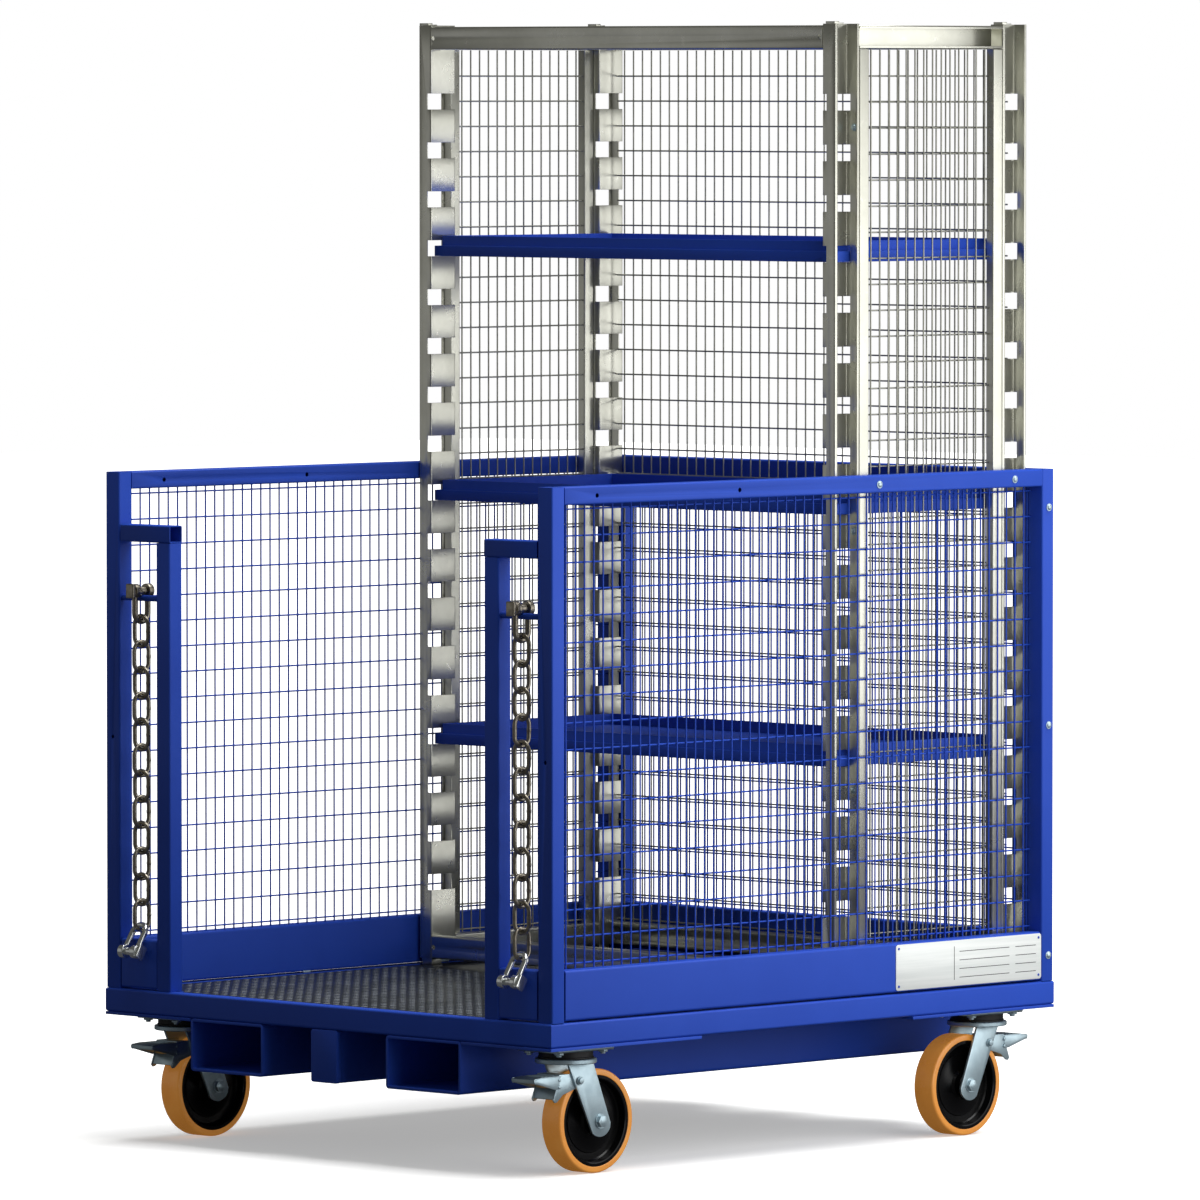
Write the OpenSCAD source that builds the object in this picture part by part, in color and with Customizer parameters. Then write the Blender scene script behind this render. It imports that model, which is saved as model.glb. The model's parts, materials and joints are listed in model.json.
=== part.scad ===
// Order picking cage on castors: a steel deck with fork pockets, mesh guard panels round the
// operator's bay, entry wings with chains, and a tall goods cage with three lift-out shelves.
// X runs across the entry, Y from the entry to the back, Z up from the floor.

/* [Base] */
// Width of the base across the entry
base_w = 1230; // [1150:10:1300]
// Depth of the base from the entry to the back
base_d = 1425; // [1350:5:1500]
// Height of the top of the base above the floor
base_top = 300; // [298:1:310]
// Height of the folded channels round the base
channel_h = 47; // [42:1:47]
// Sheet thickness of the base channels
channel_t = 4; // [3:0.5:5]
// Width of the top and bottom flanges of the base channels
channel_flange = 24; // [20:1:28]
// Thickness of the deck plate
deck_t = 5; // [4:0.5:6]

/* [Fork pockets] */
// Outside width of each fork pocket
pocket_w = 203; // [180:1:205]
// Height of each fork pocket
pocket_h = 103; // [90:1:105]
// Wall thickness of the fork pockets
pocket_t = 6; // [4:0.5:6]
// Distance from the middle of the base to the middle of a pocket
pocket_x = 271; // [265:1:272]
// Width of the beam between the pockets
beam_w = 72; // [60:1:80]

/* [Castors] */
// Wheel diameter over the tyre
wheel_d = 200; // [190:1:200]
// Width of the tyre
tyre_w = 50; // [44:1:52]
// Distance of the swivel axis from the side of the base
castor_in_x = 88.5; // [86:0.5:95]
// Distance of the swivel axis from the front or back of the base
castor_in_y = 130; // [125:1:140]
// Distance of the wheel axle behind the swivel axis
trail = 58; // [54:1:60]
// Diameter of the axle bolt
axle_d = 20; // [16:1:20]
// Radial running clearance of the wheel on its axle
axle_gap = 0.05; // [0.02:0.01:0.1]

/* [Guard panels] */
// Height of the guard panels above the top of the base
panel_h = 1016; // [950:1:1050]
// Thickness of the panel frames, seen from above
panel_t = 39; // [36:1:42]
// Face width of the panel frame members
member = 34; // [30:1:36]
// Wall thickness of the panel tubes
tube_t = 2.5; // [2:0.5:3]
// Height of the kick plates
kick_h = 96; // [80:1:110]
// Thickness of the kick plates
kick_t = 34; // [28:1:36]
// Wire diameter of all mesh
wire_d = 3.2; // [2.5:0.1:4]
// Mesh pitch along a row
mesh_x = 25.4; // [25.4, 50.8]
// Mesh pitch up a column
mesh_z = 50.8; // [50.8, 76.2]

/* [Entry wings] */
// Width of each wing from the outside of the base
wing_w = 182; // [170:1:190]
// Height of the top of the wings above the top of the base
wing_h = 914; // [880:1:940]
// Height of the chain bars above the top of the base
bar_h = 770; // [740:1:790]
// Diameter of the chain bars
bar_d = 12; // [10:0.5:12]
// Chain wire diameter
link_d = 8.5; // [8:0.1:9]
// Chain pitch
link_pitch = 50.8; // [50:0.1:52]
// Outside width of a chain link
link_w = 47; // [44:0.5:48]
// Tilt of the end shackle over the kick plate
shackle_tilt = 32; // [32:1:34]

/* [Goods cage] */
// Distance from the front of the base to the front of the goods cage
goods_y = 830.5; // [800:0.5:840]
// Height of the posts
post_h = 1881.4; // [1860:0.1:1900]
// Width of the post flanges
post_x = 34.5; // [34:0.5:40]
// Depth of the posts
post_y = 70.5; // [66:0.5:72]
// Sheet thickness of the posts and rails
post_t = 2.5; // [2:0.5:3]
// Pitch of the shelf slots
slot_pitch = 98.4; // [96:0.1:99]
// Height of a shelf slot
slot_h = 32.1; // [30:0.1:36]
// How far the shelf slots reach into the post flanges
slot_reach = 11.2; // [10:0.1:14]
// Height of the rails of the goods cage
rail_h = 46; // [42:1:48]
// Face width of the uprights beside the mesh of the goods cage
goods_member = 27; // [25:1:28]
// Thickness of those uprights
goods_member_t = 20; // [18:1:24]

/* [Shelves] */
// Depth of a shelf
shelf_d = 500; // [400:5:500]
// Height of a shelf's edge that runs in the slots
shelf_band = 21; // [15:1:24]
// Height of the upstand on a shelf
shelf_lip = 20; // [10:1:22]
// Sheet thickness of the shelves
shelf_t = 2.5; // [2:0.5:3]

/* [Hidden] */

blue = "#2f4fb0";
zinc = "#a8b6b8";
steel = "#7d7f78";
dark = "#1b1b1b";
$fn = 48;

half_w = base_w / 2;
channel_bottom = base_top - channel_h;
mount_t = 6;
mount_bottom = channel_bottom - mount_t;
set_back = 3;
gap = 0.3;
seam = 3;
deck_drop = 1.5;
deck_bottom = base_top - deck_drop - deck_t;
deck_in = channel_flange + 1;

// guard panels
panel_y0 = set_back;
panel_y1 = base_d - set_back;
panel_z0 = base_top + gap;
panel_top = base_top + panel_h;
rail_z = panel_top - member;
inner_x = half_w - panel_t;
mesh_in = 29;

// entry wings
wing_x = half_w - wing_w;
wing_top = base_top + wing_h;
wing_end = inner_x - seam;
bar_z = base_top + bar_h;
chain_x = (wing_x + panel_t + inner_x) / 2;
chain_y = 13;

// goods cage
cage_x = inner_x - seam;
post_z0 = base_top + 13;
post_top = post_z0 + post_h;
web_x = cage_x - post_x;
back_gap = 1.6;
back_y = base_d - set_back - member - back_gap;
rear_post_y = back_y - post_y;
side_y0 = goods_y + post_y + gap;
side_y1 = rear_post_y - gap;
rail_top = post_top - 3;
frame_top = rail_top - rail_h;
frame_bottom = post_z0 + rail_h;
slot_count = 17;
slot_first = post_top - 152.75;

// chain and shackles
ring_gap = 0.3;
shackle_d = 12;
pin_d = 16;
pin_z = bar_z + bar_d / 2 + pin_d / 2 + ring_gap;
bow_drop = 60;
bow_z = pin_z - bow_drop;
link_len = link_pitch + link_d + ring_gap;
link_top = bow_z + (shackle_d + link_d) / 2 + ring_gap;
split = 7;
link_count = 12;
last_z = link_top - (link_count - 1) * link_pitch - link_len;
end_z = last_z + (shackle_d + link_d) / 2 + ring_gap;
end_len = 60;
pin_head_w = 22;
pin_head_l = 32;
pin_head_d = 34;
// the end shackles hang over the kick plates and stand out in front of the base
head_edge = sqrt(pin_head_d * pin_head_d - pin_head_w * pin_head_w) / 2;
front_overhang = (end_len + head_edge) * sin(shackle_tilt) + pin_head_w / 2 * cos(shackle_tilt) - chain_y;
front_y = (front_overhang - base_d) / 2;

// castors
axle_z = wheel_d / 2;
plate_t = 6;
seal_h = 18;
crown_t = 9;
crown_top = mount_bottom - plate_t - seal_h;
leg_in = 31;
leg_t = 5;
pivot_y = 2;
pivot_z = 181;
pivot_d = 8;
cheek_in = tyre_w / 2 + 1.5;
cheek_t = 3;

module at_front() translate([0, front_y, 0]) children();

// ---------- sections and bars ----------
module round_rect(w, h, r) {
    square([w - 2 * r, h], center = true);
    square([w, h - 2 * r], center = true);
    for (x = [-1, 1], y = [-1, 1])
        translate([x * (w / 2 - r), y * (h / 2 - r)]) circle(r, $fn = 24);
}

module tube_section(w, h, t, r) difference() {
    round_rect(w, h, r);
    round_rect(w - 2 * t, h - 2 * t, max(r - t, 0.6));
}

// bars start at the origin and run along +X, +Y or +Z, centred on their section
module run_x(l) rotate([90, 0, 90]) linear_extrude(l) children();
module run_y(l) rotate([90, 0, 180]) linear_extrude(l) children();
module run_z(l) linear_extrude(l) children();

module both_sides() {
    children();
    mirror([1, 0, 0]) children();
}

// ---------- base ----------
// folded channel: web outside at x = 0, flanges towards +x, top at y = 0
module channel_section() difference() {
    translate([channel_flange / 2, -channel_h / 2]) round_rect(channel_flange, channel_h, 5);
    translate([channel_flange / 2 + channel_t, -channel_h / 2])
        round_rect(channel_flange, channel_h - 2 * channel_t, 1);
}

// one mitred run of channel along +X, with its outer face at y = 0
module mitred_channel(l) intersection() {
    rotate([90, 0, 90]) linear_extrude(l) channel_section();
    translate([0, 0, -channel_h - 1]) linear_extrude(channel_h + 2)
        polygon([[0.1, 0], [l - 0.1, 0], [l - 0.1 - 50, 50], [0.1 + 50, 50]]);
}

module end_channels() color(blue) at_front() translate([0, 0, base_top]) {
    translate([-half_w, 0, 0]) mitred_channel(base_w);
    translate([half_w, base_d, 0]) rotate([0, 0, 180]) mitred_channel(base_w);
}

module side_channels() color(blue) at_front() {
    translate([half_w, 0, base_top]) rotate([0, 0, 90]) mitred_channel(base_d);
    translate([-half_w, base_d, base_top]) rotate([0, 0, -90]) mitred_channel(base_d);
    both_sides() edge_strip();
}

// flat strip beside the deck, under the side panel and the wing
module edge_strip() {
    x1 = half_w - deck_in + 0.5;
    y0 = deck_in - 0.5;
    translate([0, 0, deck_bottom]) linear_extrude(deck_t + deck_drop - 0.2)
        polygon([[deck_notch_x + 0.5, y0], [x1, y0], [x1, base_d - y0], [deck_x + 0.5, base_d - y0],
                 [deck_x + 0.5, deck_notch_y - 0.5], [deck_notch_x + 0.5, deck_notch_y - 0.5]]);
}

module fork_pocket() color(blue) at_front()
    translate([pocket_x, 0, channel_bottom - pocket_h / 2 - 0.1])
        run_y(base_d) tube_section(pocket_w, pocket_h - 0.2, pocket_t, 8);

module left_fork_pocket() mirror([1, 0, 0]) fork_pocket();
module right_fork_pocket() fork_pocket();

module centre_beam() color(blue) at_front()
    translate([0, 0, channel_bottom - pocket_h / 2 - 0.1]) {
        translate([0, 11.1, 0]) run_y(base_d - 22.2) tube_section(beam_w - 4, pocket_h - 0.4, 5, 6);
        for (y = [0, base_d - 11]) translate([0, y, 0]) run_y(11) round_rect(beam_w, pocket_h - 0.2, 6);
    }

module mount_plate() {
    plate_w = half_w - pocket_x - pocket_w / 2 - 0.4;
    plate_l = 413;
    difference() {
        translate([half_w - plate_w, 0, mount_bottom]) cube([plate_w, plate_l, mount_t - 0.2]);
        translate([half_w - castor_in_x, castor_in_y, mount_bottom - 1]) plate_holes(mount_t + 2);
    }
}

module castor_mount_plates() color(blue) at_front() both_sides() {
    mount_plate();
    translate([0, base_d, 0]) mirror([0, 1, 0]) mount_plate();
}

deck_x = inner_x - 1;
deck_notch_x = wing_x - 2;
deck_notch_y = panel_y0 + member + 1;

// the operator's plate, notched round the wings, and the plate that the goods cage stands on
module deck_plate() color(steel) at_front() translate([0, 0, deck_bottom]) {
    y1 = goods_y - 2;
    linear_extrude(deck_t)
        polygon([[-deck_x, deck_notch_y], [-deck_notch_x, deck_notch_y], [-deck_notch_x, deck_in],
                 [deck_notch_x, deck_in], [deck_notch_x, deck_notch_y], [deck_x, deck_notch_y],
                 [deck_x, y1], [-deck_x, y1]]);
    translate([-deck_x, y1 + 1, 0]) cube([2 * deck_x, base_d - deck_in - y1 - 1, deck_t]);
}

module deck_bearers() {
    bearer_h = deck_bottom - channel_bottom - 0.4;
    inset = channel_flange + 4;
    color(blue) at_front() for (y = [60, 320, 580, 845, 1110, 1365])
        translate([-half_w + inset, y, channel_bottom + 0.2 + bearer_h / 2])
            run_x(base_w - 2 * inset) tube_section(40, bearer_h, 3, 4);
}

// ---------- guard panels ----------
module panel_post(y) translate([half_w - panel_t / 2, y + member / 2, panel_z0])
    run_z(panel_top - panel_z0) tube_section(panel_t, member, tube_t, 3.5);

module side_panel_frame() {
    rail_len = panel_y1 - panel_y0 - 2 * member - 2 * gap;
    post_hole_z = 795;
    color(blue) at_front() {
        difference() {
            panel_post(panel_y0);
            translate([half_w - 19, panel_y0 - 1, post_hole_z]) rotate([-90, 0, 0]) cylinder(h = 6, d = 8);
        }
        panel_post(panel_y1 - member);
        difference() {
            translate([half_w - panel_t / 2, panel_y0 + member + gap, rail_z + member / 2])
                run_y(rail_len) tube_section(panel_t, member, tube_t, 3.5);
            for (y = [125, 518])
                translate([inner_x - 1, y, panel_top - 18]) rotate([0, 90, 0]) cylinder(h = panel_t + 2, d = 9);
        }
    }
}

module left_panel_frame() mirror([1, 0, 0]) side_panel_frame();
module right_panel_frame() side_panel_frame();

module side_kick_plate() {
    y0 = panel_y0 + member + seam;
    l = panel_y1 - member - seam - y0;
    translate([half_w - 0.8 - kick_t / 2, y0, base_top + seam + kick_h / 2])
        run_y(l) tube_section(kick_t, kick_h, 3, 5);
}

module side_kick_plates() color(blue) at_front() both_sides() side_kick_plate();

// upright wires and, just behind them, level wires, inside an opening w wide and h high
module wire_grid(w, h, first_x, first_z) {
    clear = 0.3;
    for (x = [first_x : mesh_x : w - wire_d])
        translate([x, 0, clear]) cylinder(h = h - 2 * clear, d = wire_d, $fn = 16);
    for (z = [first_z : mesh_z : h - wire_d])
        translate([clear, wire_d + 0.1, z]) rotate([0, 90, 0]) cylinder(h = w - 2 * clear, d = wire_d, $fn = 16);
}

module side_panel_mesh() {
    y0 = panel_y0 + member;
    w = panel_y1 - member - y0;
    z0 = base_top + seam + kick_h;
    h = rail_z - z0;
    color(blue) at_front() translate([half_w - mesh_in, y0, z0]) rotate([0, 0, 90])
        wire_grid(w, h, 6.6, (h - 9.5) % mesh_z);
}

module left_panel_mesh() mirror([1, 0, 0]) side_panel_mesh();
module right_panel_mesh() side_panel_mesh();

back_x = inner_x - 0.5;

module back_panel_frame() color(blue) at_front() {
    for (s = [-1, 1])
        translate([s * (back_x - panel_t / 2), panel_y1 - member / 2, panel_z0])
            run_z(panel_top - panel_z0) tube_section(panel_t, member, tube_t, 3.5);
    translate([-back_x + panel_t + gap, panel_y1 - member / 2, panel_top - panel_t / 2])
        run_x(2 * (back_x - panel_t - gap)) tube_section(member, panel_t, tube_t, 3.5);
}

module back_kick_plate() {
    l = 2 * (back_x - panel_t - seam);
    color(blue) at_front()
        translate([-l / 2, panel_y1 - 0.8 - kick_t / 2, base_top + seam + kick_h / 2])
            run_x(l) tube_section(kick_t - 2, kick_h, 3, 5);
}

module back_panel_mesh() {
    w = 2 * (back_x - panel_t);
    z0 = base_top + seam + kick_h;
    h = panel_top - panel_t - z0;
    color(blue) at_front() translate([w / 2, panel_y1 - mesh_in, z0]) rotate([0, 0, 180])
        wire_grid(w, h, (w % mesh_x) / 2, (rail_z - z0 - 9.5) % mesh_z);
}

// ---------- entry wings ----------
module wing_frame() color(blue) at_front() {
    rail_l = wing_end - wing_x;
    translate([wing_x + panel_t / 2, panel_y0 + member / 2, panel_z0])
        run_z(wing_top - member - gap - panel_z0) tube_section(panel_t, member, tube_t, 3.5);
    translate([wing_x, panel_y0 + member / 2, wing_top - member / 2])
        run_x(rail_l) tube_section(member, member, tube_t, 3.5);
}

module left_wing_frame() mirror([1, 0, 0]) wing_frame();
module right_wing_frame() wing_frame();

module wing_kick_plates() {
    x0 = wing_x + panel_t + gap;
    color(blue) at_front() both_sides()
        translate([x0, panel_y0 + 0.8 + kick_t / 2 - 1, base_top + seam + kick_h / 2])
            run_x(wing_end - x0) tube_section(kick_t - 2, kick_h, 3, 5);
}

module chain_bars() {
    x0 = wing_x + panel_t + 0.1;
    color(blue) at_front() both_sides()
        translate([x0, chain_y, bar_z]) rotate([0, 90, 0]) cylinder(h = inner_x - 0.1 - x0, d = bar_d);
}

// ---------- chains ----------
// bent rod in the XZ plane: two legs up from a half ring whose wire centre touches z = 0 at the bottom
module u_rod(d, w, leg) {
    r = w / 2;
    translate([0, 0, r]) rotate([90, 0, 0]) rotate([0, 0, 180])
        rotate_extrude(angle = 180, $fn = 48) translate([r, 0]) circle(d = d, $fn = 24);
    for (s = [-1, 1]) translate([s * r, 0, r]) cylinder(h = leg - r, d = d, $fn = 24);
}

// one link hanging from its top wire centre at z = 0
module chain_link() {
    w = link_w - link_d;
    union() {
        translate([0, 0, -link_len]) u_rod(link_d, w, link_len / 2 + 0.01);
        mirror([0, 0, 1]) u_rod(link_d, w, link_len / 2 + 0.01);
    }
}

module links(first, last) color(steel) at_front()
    for (k = [first : last])
        translate([chain_x, chain_y, link_top - (k - 1) * link_pitch])
            rotate([0, 0, k % 2 == 1 ? 0 : 90]) chain_link();

ear_d = 29;
ear_t = 14;
pin_head_h = 9;
bow_w = 34;

// shackle in the XZ plane: bow bottom wire centre at z = 0, pin along X at z = rise
module shackle(rise) union() {
    u_rod(shackle_d, bow_w, rise - 8);
    for (s = [-1, 1]) translate([s * bow_w / 2 - ear_t / 2, 0, rise]) rotate([0, 90, 0]) cylinder(h = ear_t, d = ear_d);
    translate([-bow_w / 2 - ear_t / 2 - 3, 0, rise]) rotate([0, 90, 0]) cylinder(h = bow_w + ear_t + 1, d = pin_d);
    // flat-sided pin head
    translate([bow_w / 2 + ear_t / 2 - 0.5, 0, rise]) intersection() {
        translate([0, -pin_head_w / 2, -pin_head_l / 2]) cube([pin_head_h, pin_head_w, pin_head_l]);
        rotate([0, 90, 0]) cylinder(h = pin_head_h, d = pin_head_d);
    }
}

module top_shackle() color(steel) at_front()
    translate([chain_x, chain_y, bow_z]) rotate([0, 0, -90]) shackle(bow_drop);

module end_shackle() color(zinc) at_front()
    translate([chain_x, chain_y, end_z]) rotate([-shackle_tilt, 0, 0]) rotate([0, 180, 180]) shackle(end_len);

module left_top_shackle() mirror([1, 0, 0]) top_shackle();
module right_top_shackle() top_shackle();
module left_upper_links() mirror([1, 0, 0]) links(1, split);
module right_upper_links() links(1, split);
module left_lower_links() mirror([1, 0, 0]) links(split + 1, link_count);
module right_lower_links() links(split + 1, link_count);
module left_end_shackle() translate([-2 * chain_x, 0, 0]) end_shackle();
module right_end_shackle() end_shackle();

// ---------- goods cage ----------
// lipped channel, web at x = 0, open towards +x, centred on y
module lipped_section(w, h, lip) difference() {
    translate([w / 2, 0]) round_rect(w, h, 3.5);
    translate([w / 2, 0]) round_rect(w - 2 * post_t, h - 2 * post_t, 1);
    translate([w / 2 + 1, -h / 2 + lip]) square([w, h - 2 * lip]);
}

module slotted_post() difference() {
    translate([web_x, post_y / 2, post_z0]) run_z(post_h) lipped_section(post_x, post_y, 7);
    for (n = [0 : slot_count - 1])
        translate([web_x - 1, -1, slot_first - n * slot_pitch - slot_h / 2])
            cube([slot_reach + 1, post_y + 2, slot_h]);
}

module front_posts() color(steel) at_front() both_sides() translate([0, goods_y, 0]) slotted_post();
module rear_posts() color(steel) at_front() both_sides() translate([0, rear_post_y, 0]) slotted_post();

// rail with its web at y = 0, running along +X, flanges towards +y
module rail_x(l) rotate([90, 0, 90]) linear_extrude(l) lipped_section(post_x - 2, rail_h, 9);

module cross_rail() {
    l = 2 * web_x - 0.4;
    hole_x = l / 2 - 5.6;
    difference() {
        translate([-l / 2, 0, 0]) rail_x(l);
        for (s = [-1, 1]) translate([s * hole_x, -1, 0]) rotate([-90, 0, 0]) cylinder(h = 6, d = 9);
    }
}

module rail_set(z) {
    side_l = rear_post_y - goods_y - post_y - 0.4;
    translate([0, goods_y, z]) cross_rail();
    translate([0, back_y, z]) rotate([0, 0, 180]) cross_rail();
    both_sides() translate([cage_x - 2, goods_y + post_y + 0.2, z]) translate([2 - post_x, 0, 0])
        rotate([90, 0, 0]) mirror([0, 0, 1]) linear_extrude(side_l) lipped_section(post_x, rail_h, 6);
}

module goods_top_rails() color(steel) at_front() rail_set(rail_top - rail_h / 2);
module goods_bottom_rails() color(steel) at_front() rail_set(post_z0 + rail_h / 2);

module post_caps() {
    cap_w = 24;
    cap_d = 26;
    rim_d = 13;
    foot = 28;
    foot_h = post_z0 - base_top;
    color(steel) at_front() both_sides() for (y = [goods_y, rear_post_y]) {
        translate([web_x + 8.5, y + 0.5, post_top + 0.1]) union() {
            cube([cap_w, cap_d, 1.8]);
            cube([cap_w, rim_d, 4.5]);
        }
        translate([web_x + 3, y + 4, base_top - 1.4]) cube([foot, foot, foot_h + 1.2]);
    }
}

// uprights on both sides of the side mesh
module side_frame() {
    z0 = frame_bottom + gap;
    for (y = [side_y0 + goods_member / 2, side_y1 - goods_member / 2])
        translate([cage_x - goods_member_t / 2, y, z0])
            run_z(frame_top - gap - z0) tube_section(goods_member_t, goods_member, 2, 3);
}

module goods_side_frames() color(steel) at_front() both_sides() side_frame();

// mesh w wide from rail to rail, its wires placed alike on both sides of its middle
module goods_mesh(w) {
    z0 = frame_bottom + gap;
    first_z = (frame_top - 52.7 - z0) % mesh_z;
    translate([0, 0, z0]) wire_grid(w, frame_top - gap - z0, (w / 2 - mesh_x / 2) % mesh_x, first_z);
}

module goods_side_mesh() color(steel) at_front()
    translate([cage_x - goods_member_t / 2, side_y0 + goods_member, 0]) rotate([0, 0, 90])
        goods_mesh(side_y1 - side_y0 - 2 * goods_member);

module goods_left_mesh() mirror([1, 0, 0]) goods_side_mesh();
module goods_right_mesh() goods_side_mesh();

module goods_back_mesh() {
    w = 2 * (web_x - 1);
    color(steel) at_front() translate([w / 2, back_y - 13.9, 0]) rotate([0, 0, 180]) goods_mesh(w);
}

// ---------- shelves ----------
// tray that runs in the slots: a wide pan, and a narrower upstand all round above it
module shelf(n) {
    z = slot_first - n * slot_pitch - slot_h / 2 + 0.3;
    w = 2 * (web_x + 8);
    y0 = goods_y + 18;
    lip_w = 2 * (web_x - 6);
    lip_y = 8;
    color(blue) at_front() translate([0, y0, z]) difference() {
        union() {
            translate([-w / 2, 0, 0]) cube([w, shelf_d, shelf_band]);
            translate([-lip_w / 2, lip_y, shelf_band]) cube([lip_w, shelf_d - lip_y, shelf_lip]);
        }
        translate([-lip_w / 2 + shelf_t, lip_y + shelf_t, shelf_band - shelf_t])
            cube([lip_w - 2 * shelf_t, shelf_d - lip_y - 2 * shelf_t, shelf_lip + 10]);
        translate([-w / 2 + shelf_t, shelf_t, -1])
            cube([w - 2 * shelf_t, shelf_d - 2 * shelf_t, shelf_band - 2 * shelf_t + 1]);
    }
}

module top_shelf() shelf(3);
module middle_shelf() shelf(8);
module bottom_shelf() shelf(13);

// ---------- small pieces ----------
module nameplate() {
    l = 424;
    h = 90;
    y0 = 962;
    t = 1.2;
    color(zinc) at_front() translate([half_w - 0.7, y0 + l / 2, base_top + seam + kick_h / 2])
        rotate([90, 0, 90]) linear_extrude(t) round_rect(l, h, 6);
}

// hexagon bolt head along +X with its seat at x = 0
module bolt_head(af, h) rotate([0, 90, 0]) cylinder(h = h, d = af / cos(30), $fn = 6);

module frame_bolts() {
    head = 13;
    head_h = 5.3;
    color(zinc) at_front() both_sides() {
        for (y = [913, 1306]) translate([half_w + 0.1, y, panel_top - 18]) bolt_head(head, head_h);
        for (z = [351, 808, 1240]) translate([half_w + 0.1, 1407, z]) bolt_head(head, head_h);
        // bolts that hold the uprights to the flanges of the posts
        for (z = [700, 1206, 1993]) {
            translate([cage_x - 12, goods_y + post_y - post_t - 0.1, z]) rotate([0, 0, -90]) bolt_head(head, head_h);
            translate([cage_x - 12, rear_post_y + post_t + 0.1, z]) rotate([0, 0, 90]) bolt_head(head, head_h);
        }
        for (y = [castor_in_y, base_d - castor_in_y])
            translate([half_w - castor_in_x, y, 0]) plate_bolts();
    }
}

bolt_dx = 40;
bolt_dy = 60;

module plate_holes(h) for (x = [-1, 1], y = [-1, 1])
    translate([x * bolt_dx, y * bolt_dy, 0]) cylinder(h = h, d = 11);

module plate_bolts() for (x = [-1, 1], y = [-1, 1]) translate([x * bolt_dx, y * bolt_dy, 0]) {
    z = mount_bottom - plate_t - 0.1;
    translate([0, 0, z - 7]) cylinder(h = 7, d = 17 / cos(30), $fn = 6);
    translate([0, 0, z - 11]) cylinder(h = 11 + plate_t + mount_t - 0.5, d = 10);
}

// ---------- castors ----------
module castor_at(sx, sy) at_front()
    translate([sx * (half_w - castor_in_x), sy < 0 ? castor_in_y : base_d - castor_in_y, 0])
        mirror([0, sy < 0 ? 0 : 1, 0]) children();

module top_plate() difference() {
    union() {
        translate([-55, -76, mount_bottom - plate_t]) cube([110, 152, plate_t - 0.2]);
        translate([0, 0, crown_top + 0.3]) cylinder(h = seal_h - 0.3, d = 107);
        translate([0, 0, crown_top - crown_t - 4.6]) cylinder(h = 20, d = 22);
    }
    translate([0, 0, mount_bottom - plate_t - 1]) plate_holes(plate_t + 2);
}

module castor_top_plates() color(zinc) for (sx = [-1, 1], sy = [-1, 1]) castor_at(sx, sy) top_plate();

module leg() {
    boss = 30;
    rotate([90, 0, 90]) linear_extrude(leg_t) difference() {
        union() {
            polygon([[-27, crown_top - crown_t + 0.5], [39, crown_top - crown_t + 0.5],
                     [trail + 28, axle_z - 2], [trail, axle_z - boss + 4], [trail - 27, axle_z - 25]]);
            intersection() {
                translate([trail, axle_z]) circle(boss);
                translate([trail - 27, axle_z - boss]) square([60, boss]);
            }
        }
        translate([trail, axle_z]) circle(d = axle_d + 0.1);
    }
}

module fork() {
    crown_bottom = crown_top - crown_t;
    difference() {
        union() {
            translate([0, 0, crown_bottom]) cylinder(h = crown_t, d = 119);
            for (s = [-1, 1]) translate([s > 0 ? leg_in : -leg_in - leg_t, 0, 0]) leg();
        }
        translate([0, 0, crown_bottom - 1]) cylinder(h = crown_t + 2, d = 22.1);
    }
    // stub bolts that carry the brake, one in each leg, clear of the tyre
    both_sides() translate([0, pivot_y, pivot_z]) rotate([0, 90, 0]) {
        translate([0, 0, cheek_in - 0.2]) cylinder(h = leg_in + leg_t - cheek_in + 2, d = pivot_d);
        translate([0, 0, leg_in + leg_t - 0.5]) cylinder(h = 5, d = 12);
    }
    // axle bolt, its head and its nut
    axle_l = 2 * (leg_in + leg_t);
    translate([0, trail, axle_z]) {
        translate([-axle_l / 2, 0, 0]) rotate([0, 90, 0]) cylinder(h = axle_l, d = axle_d);
        translate([axle_l / 2 + 0.1, 0, 0]) bolt_head(24, 8);
        mirror([1, 0, 0]) translate([axle_l / 2 + 0.1, 0, 0]) bolt_head(24, 8);
    }
}

module core() {
    rim_r = wheel_d / 2 - 12.1;
    half = tyre_w / 2 - 1;
    hub_half = leg_in - 1;
    translate([0, trail, axle_z]) rotate([0, 90, 0]) difference() {
        union() {
            difference() {
                translate([0, 0, -half]) cylinder(h = 2 * half, r = rim_r);
                for (s = [-1, 1]) translate([0, 0, s * (half / 2 + 5)]) cylinder(h = half, r = rim_r - 8, center = true);
            }
            translate([0, 0, -6]) cylinder(h = 12, r = rim_r - 1);
            translate([0, 0, -hub_half]) cylinder(h = 2 * hub_half, r = 24);
        }
        translate([0, 0, -hub_half - 1]) cylinder(h = 2 * hub_half + 2, d = axle_d + 2 * axle_gap);
    }
}

module tyre() {
    r = wheel_d / 2;
    edge = 3;
    translate([0, trail, axle_z]) rotate([0, 90, 0]) rotate_extrude($fn = 96)
        polygon([[r - 12, -tyre_w / 2], [r - edge, -tyre_w / 2], [r, -tyre_w / 2 + edge],
                 [r, tyre_w / 2 - edge], [r - edge, tyre_w / 2], [r - 12, tyre_w / 2]]);
}

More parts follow.
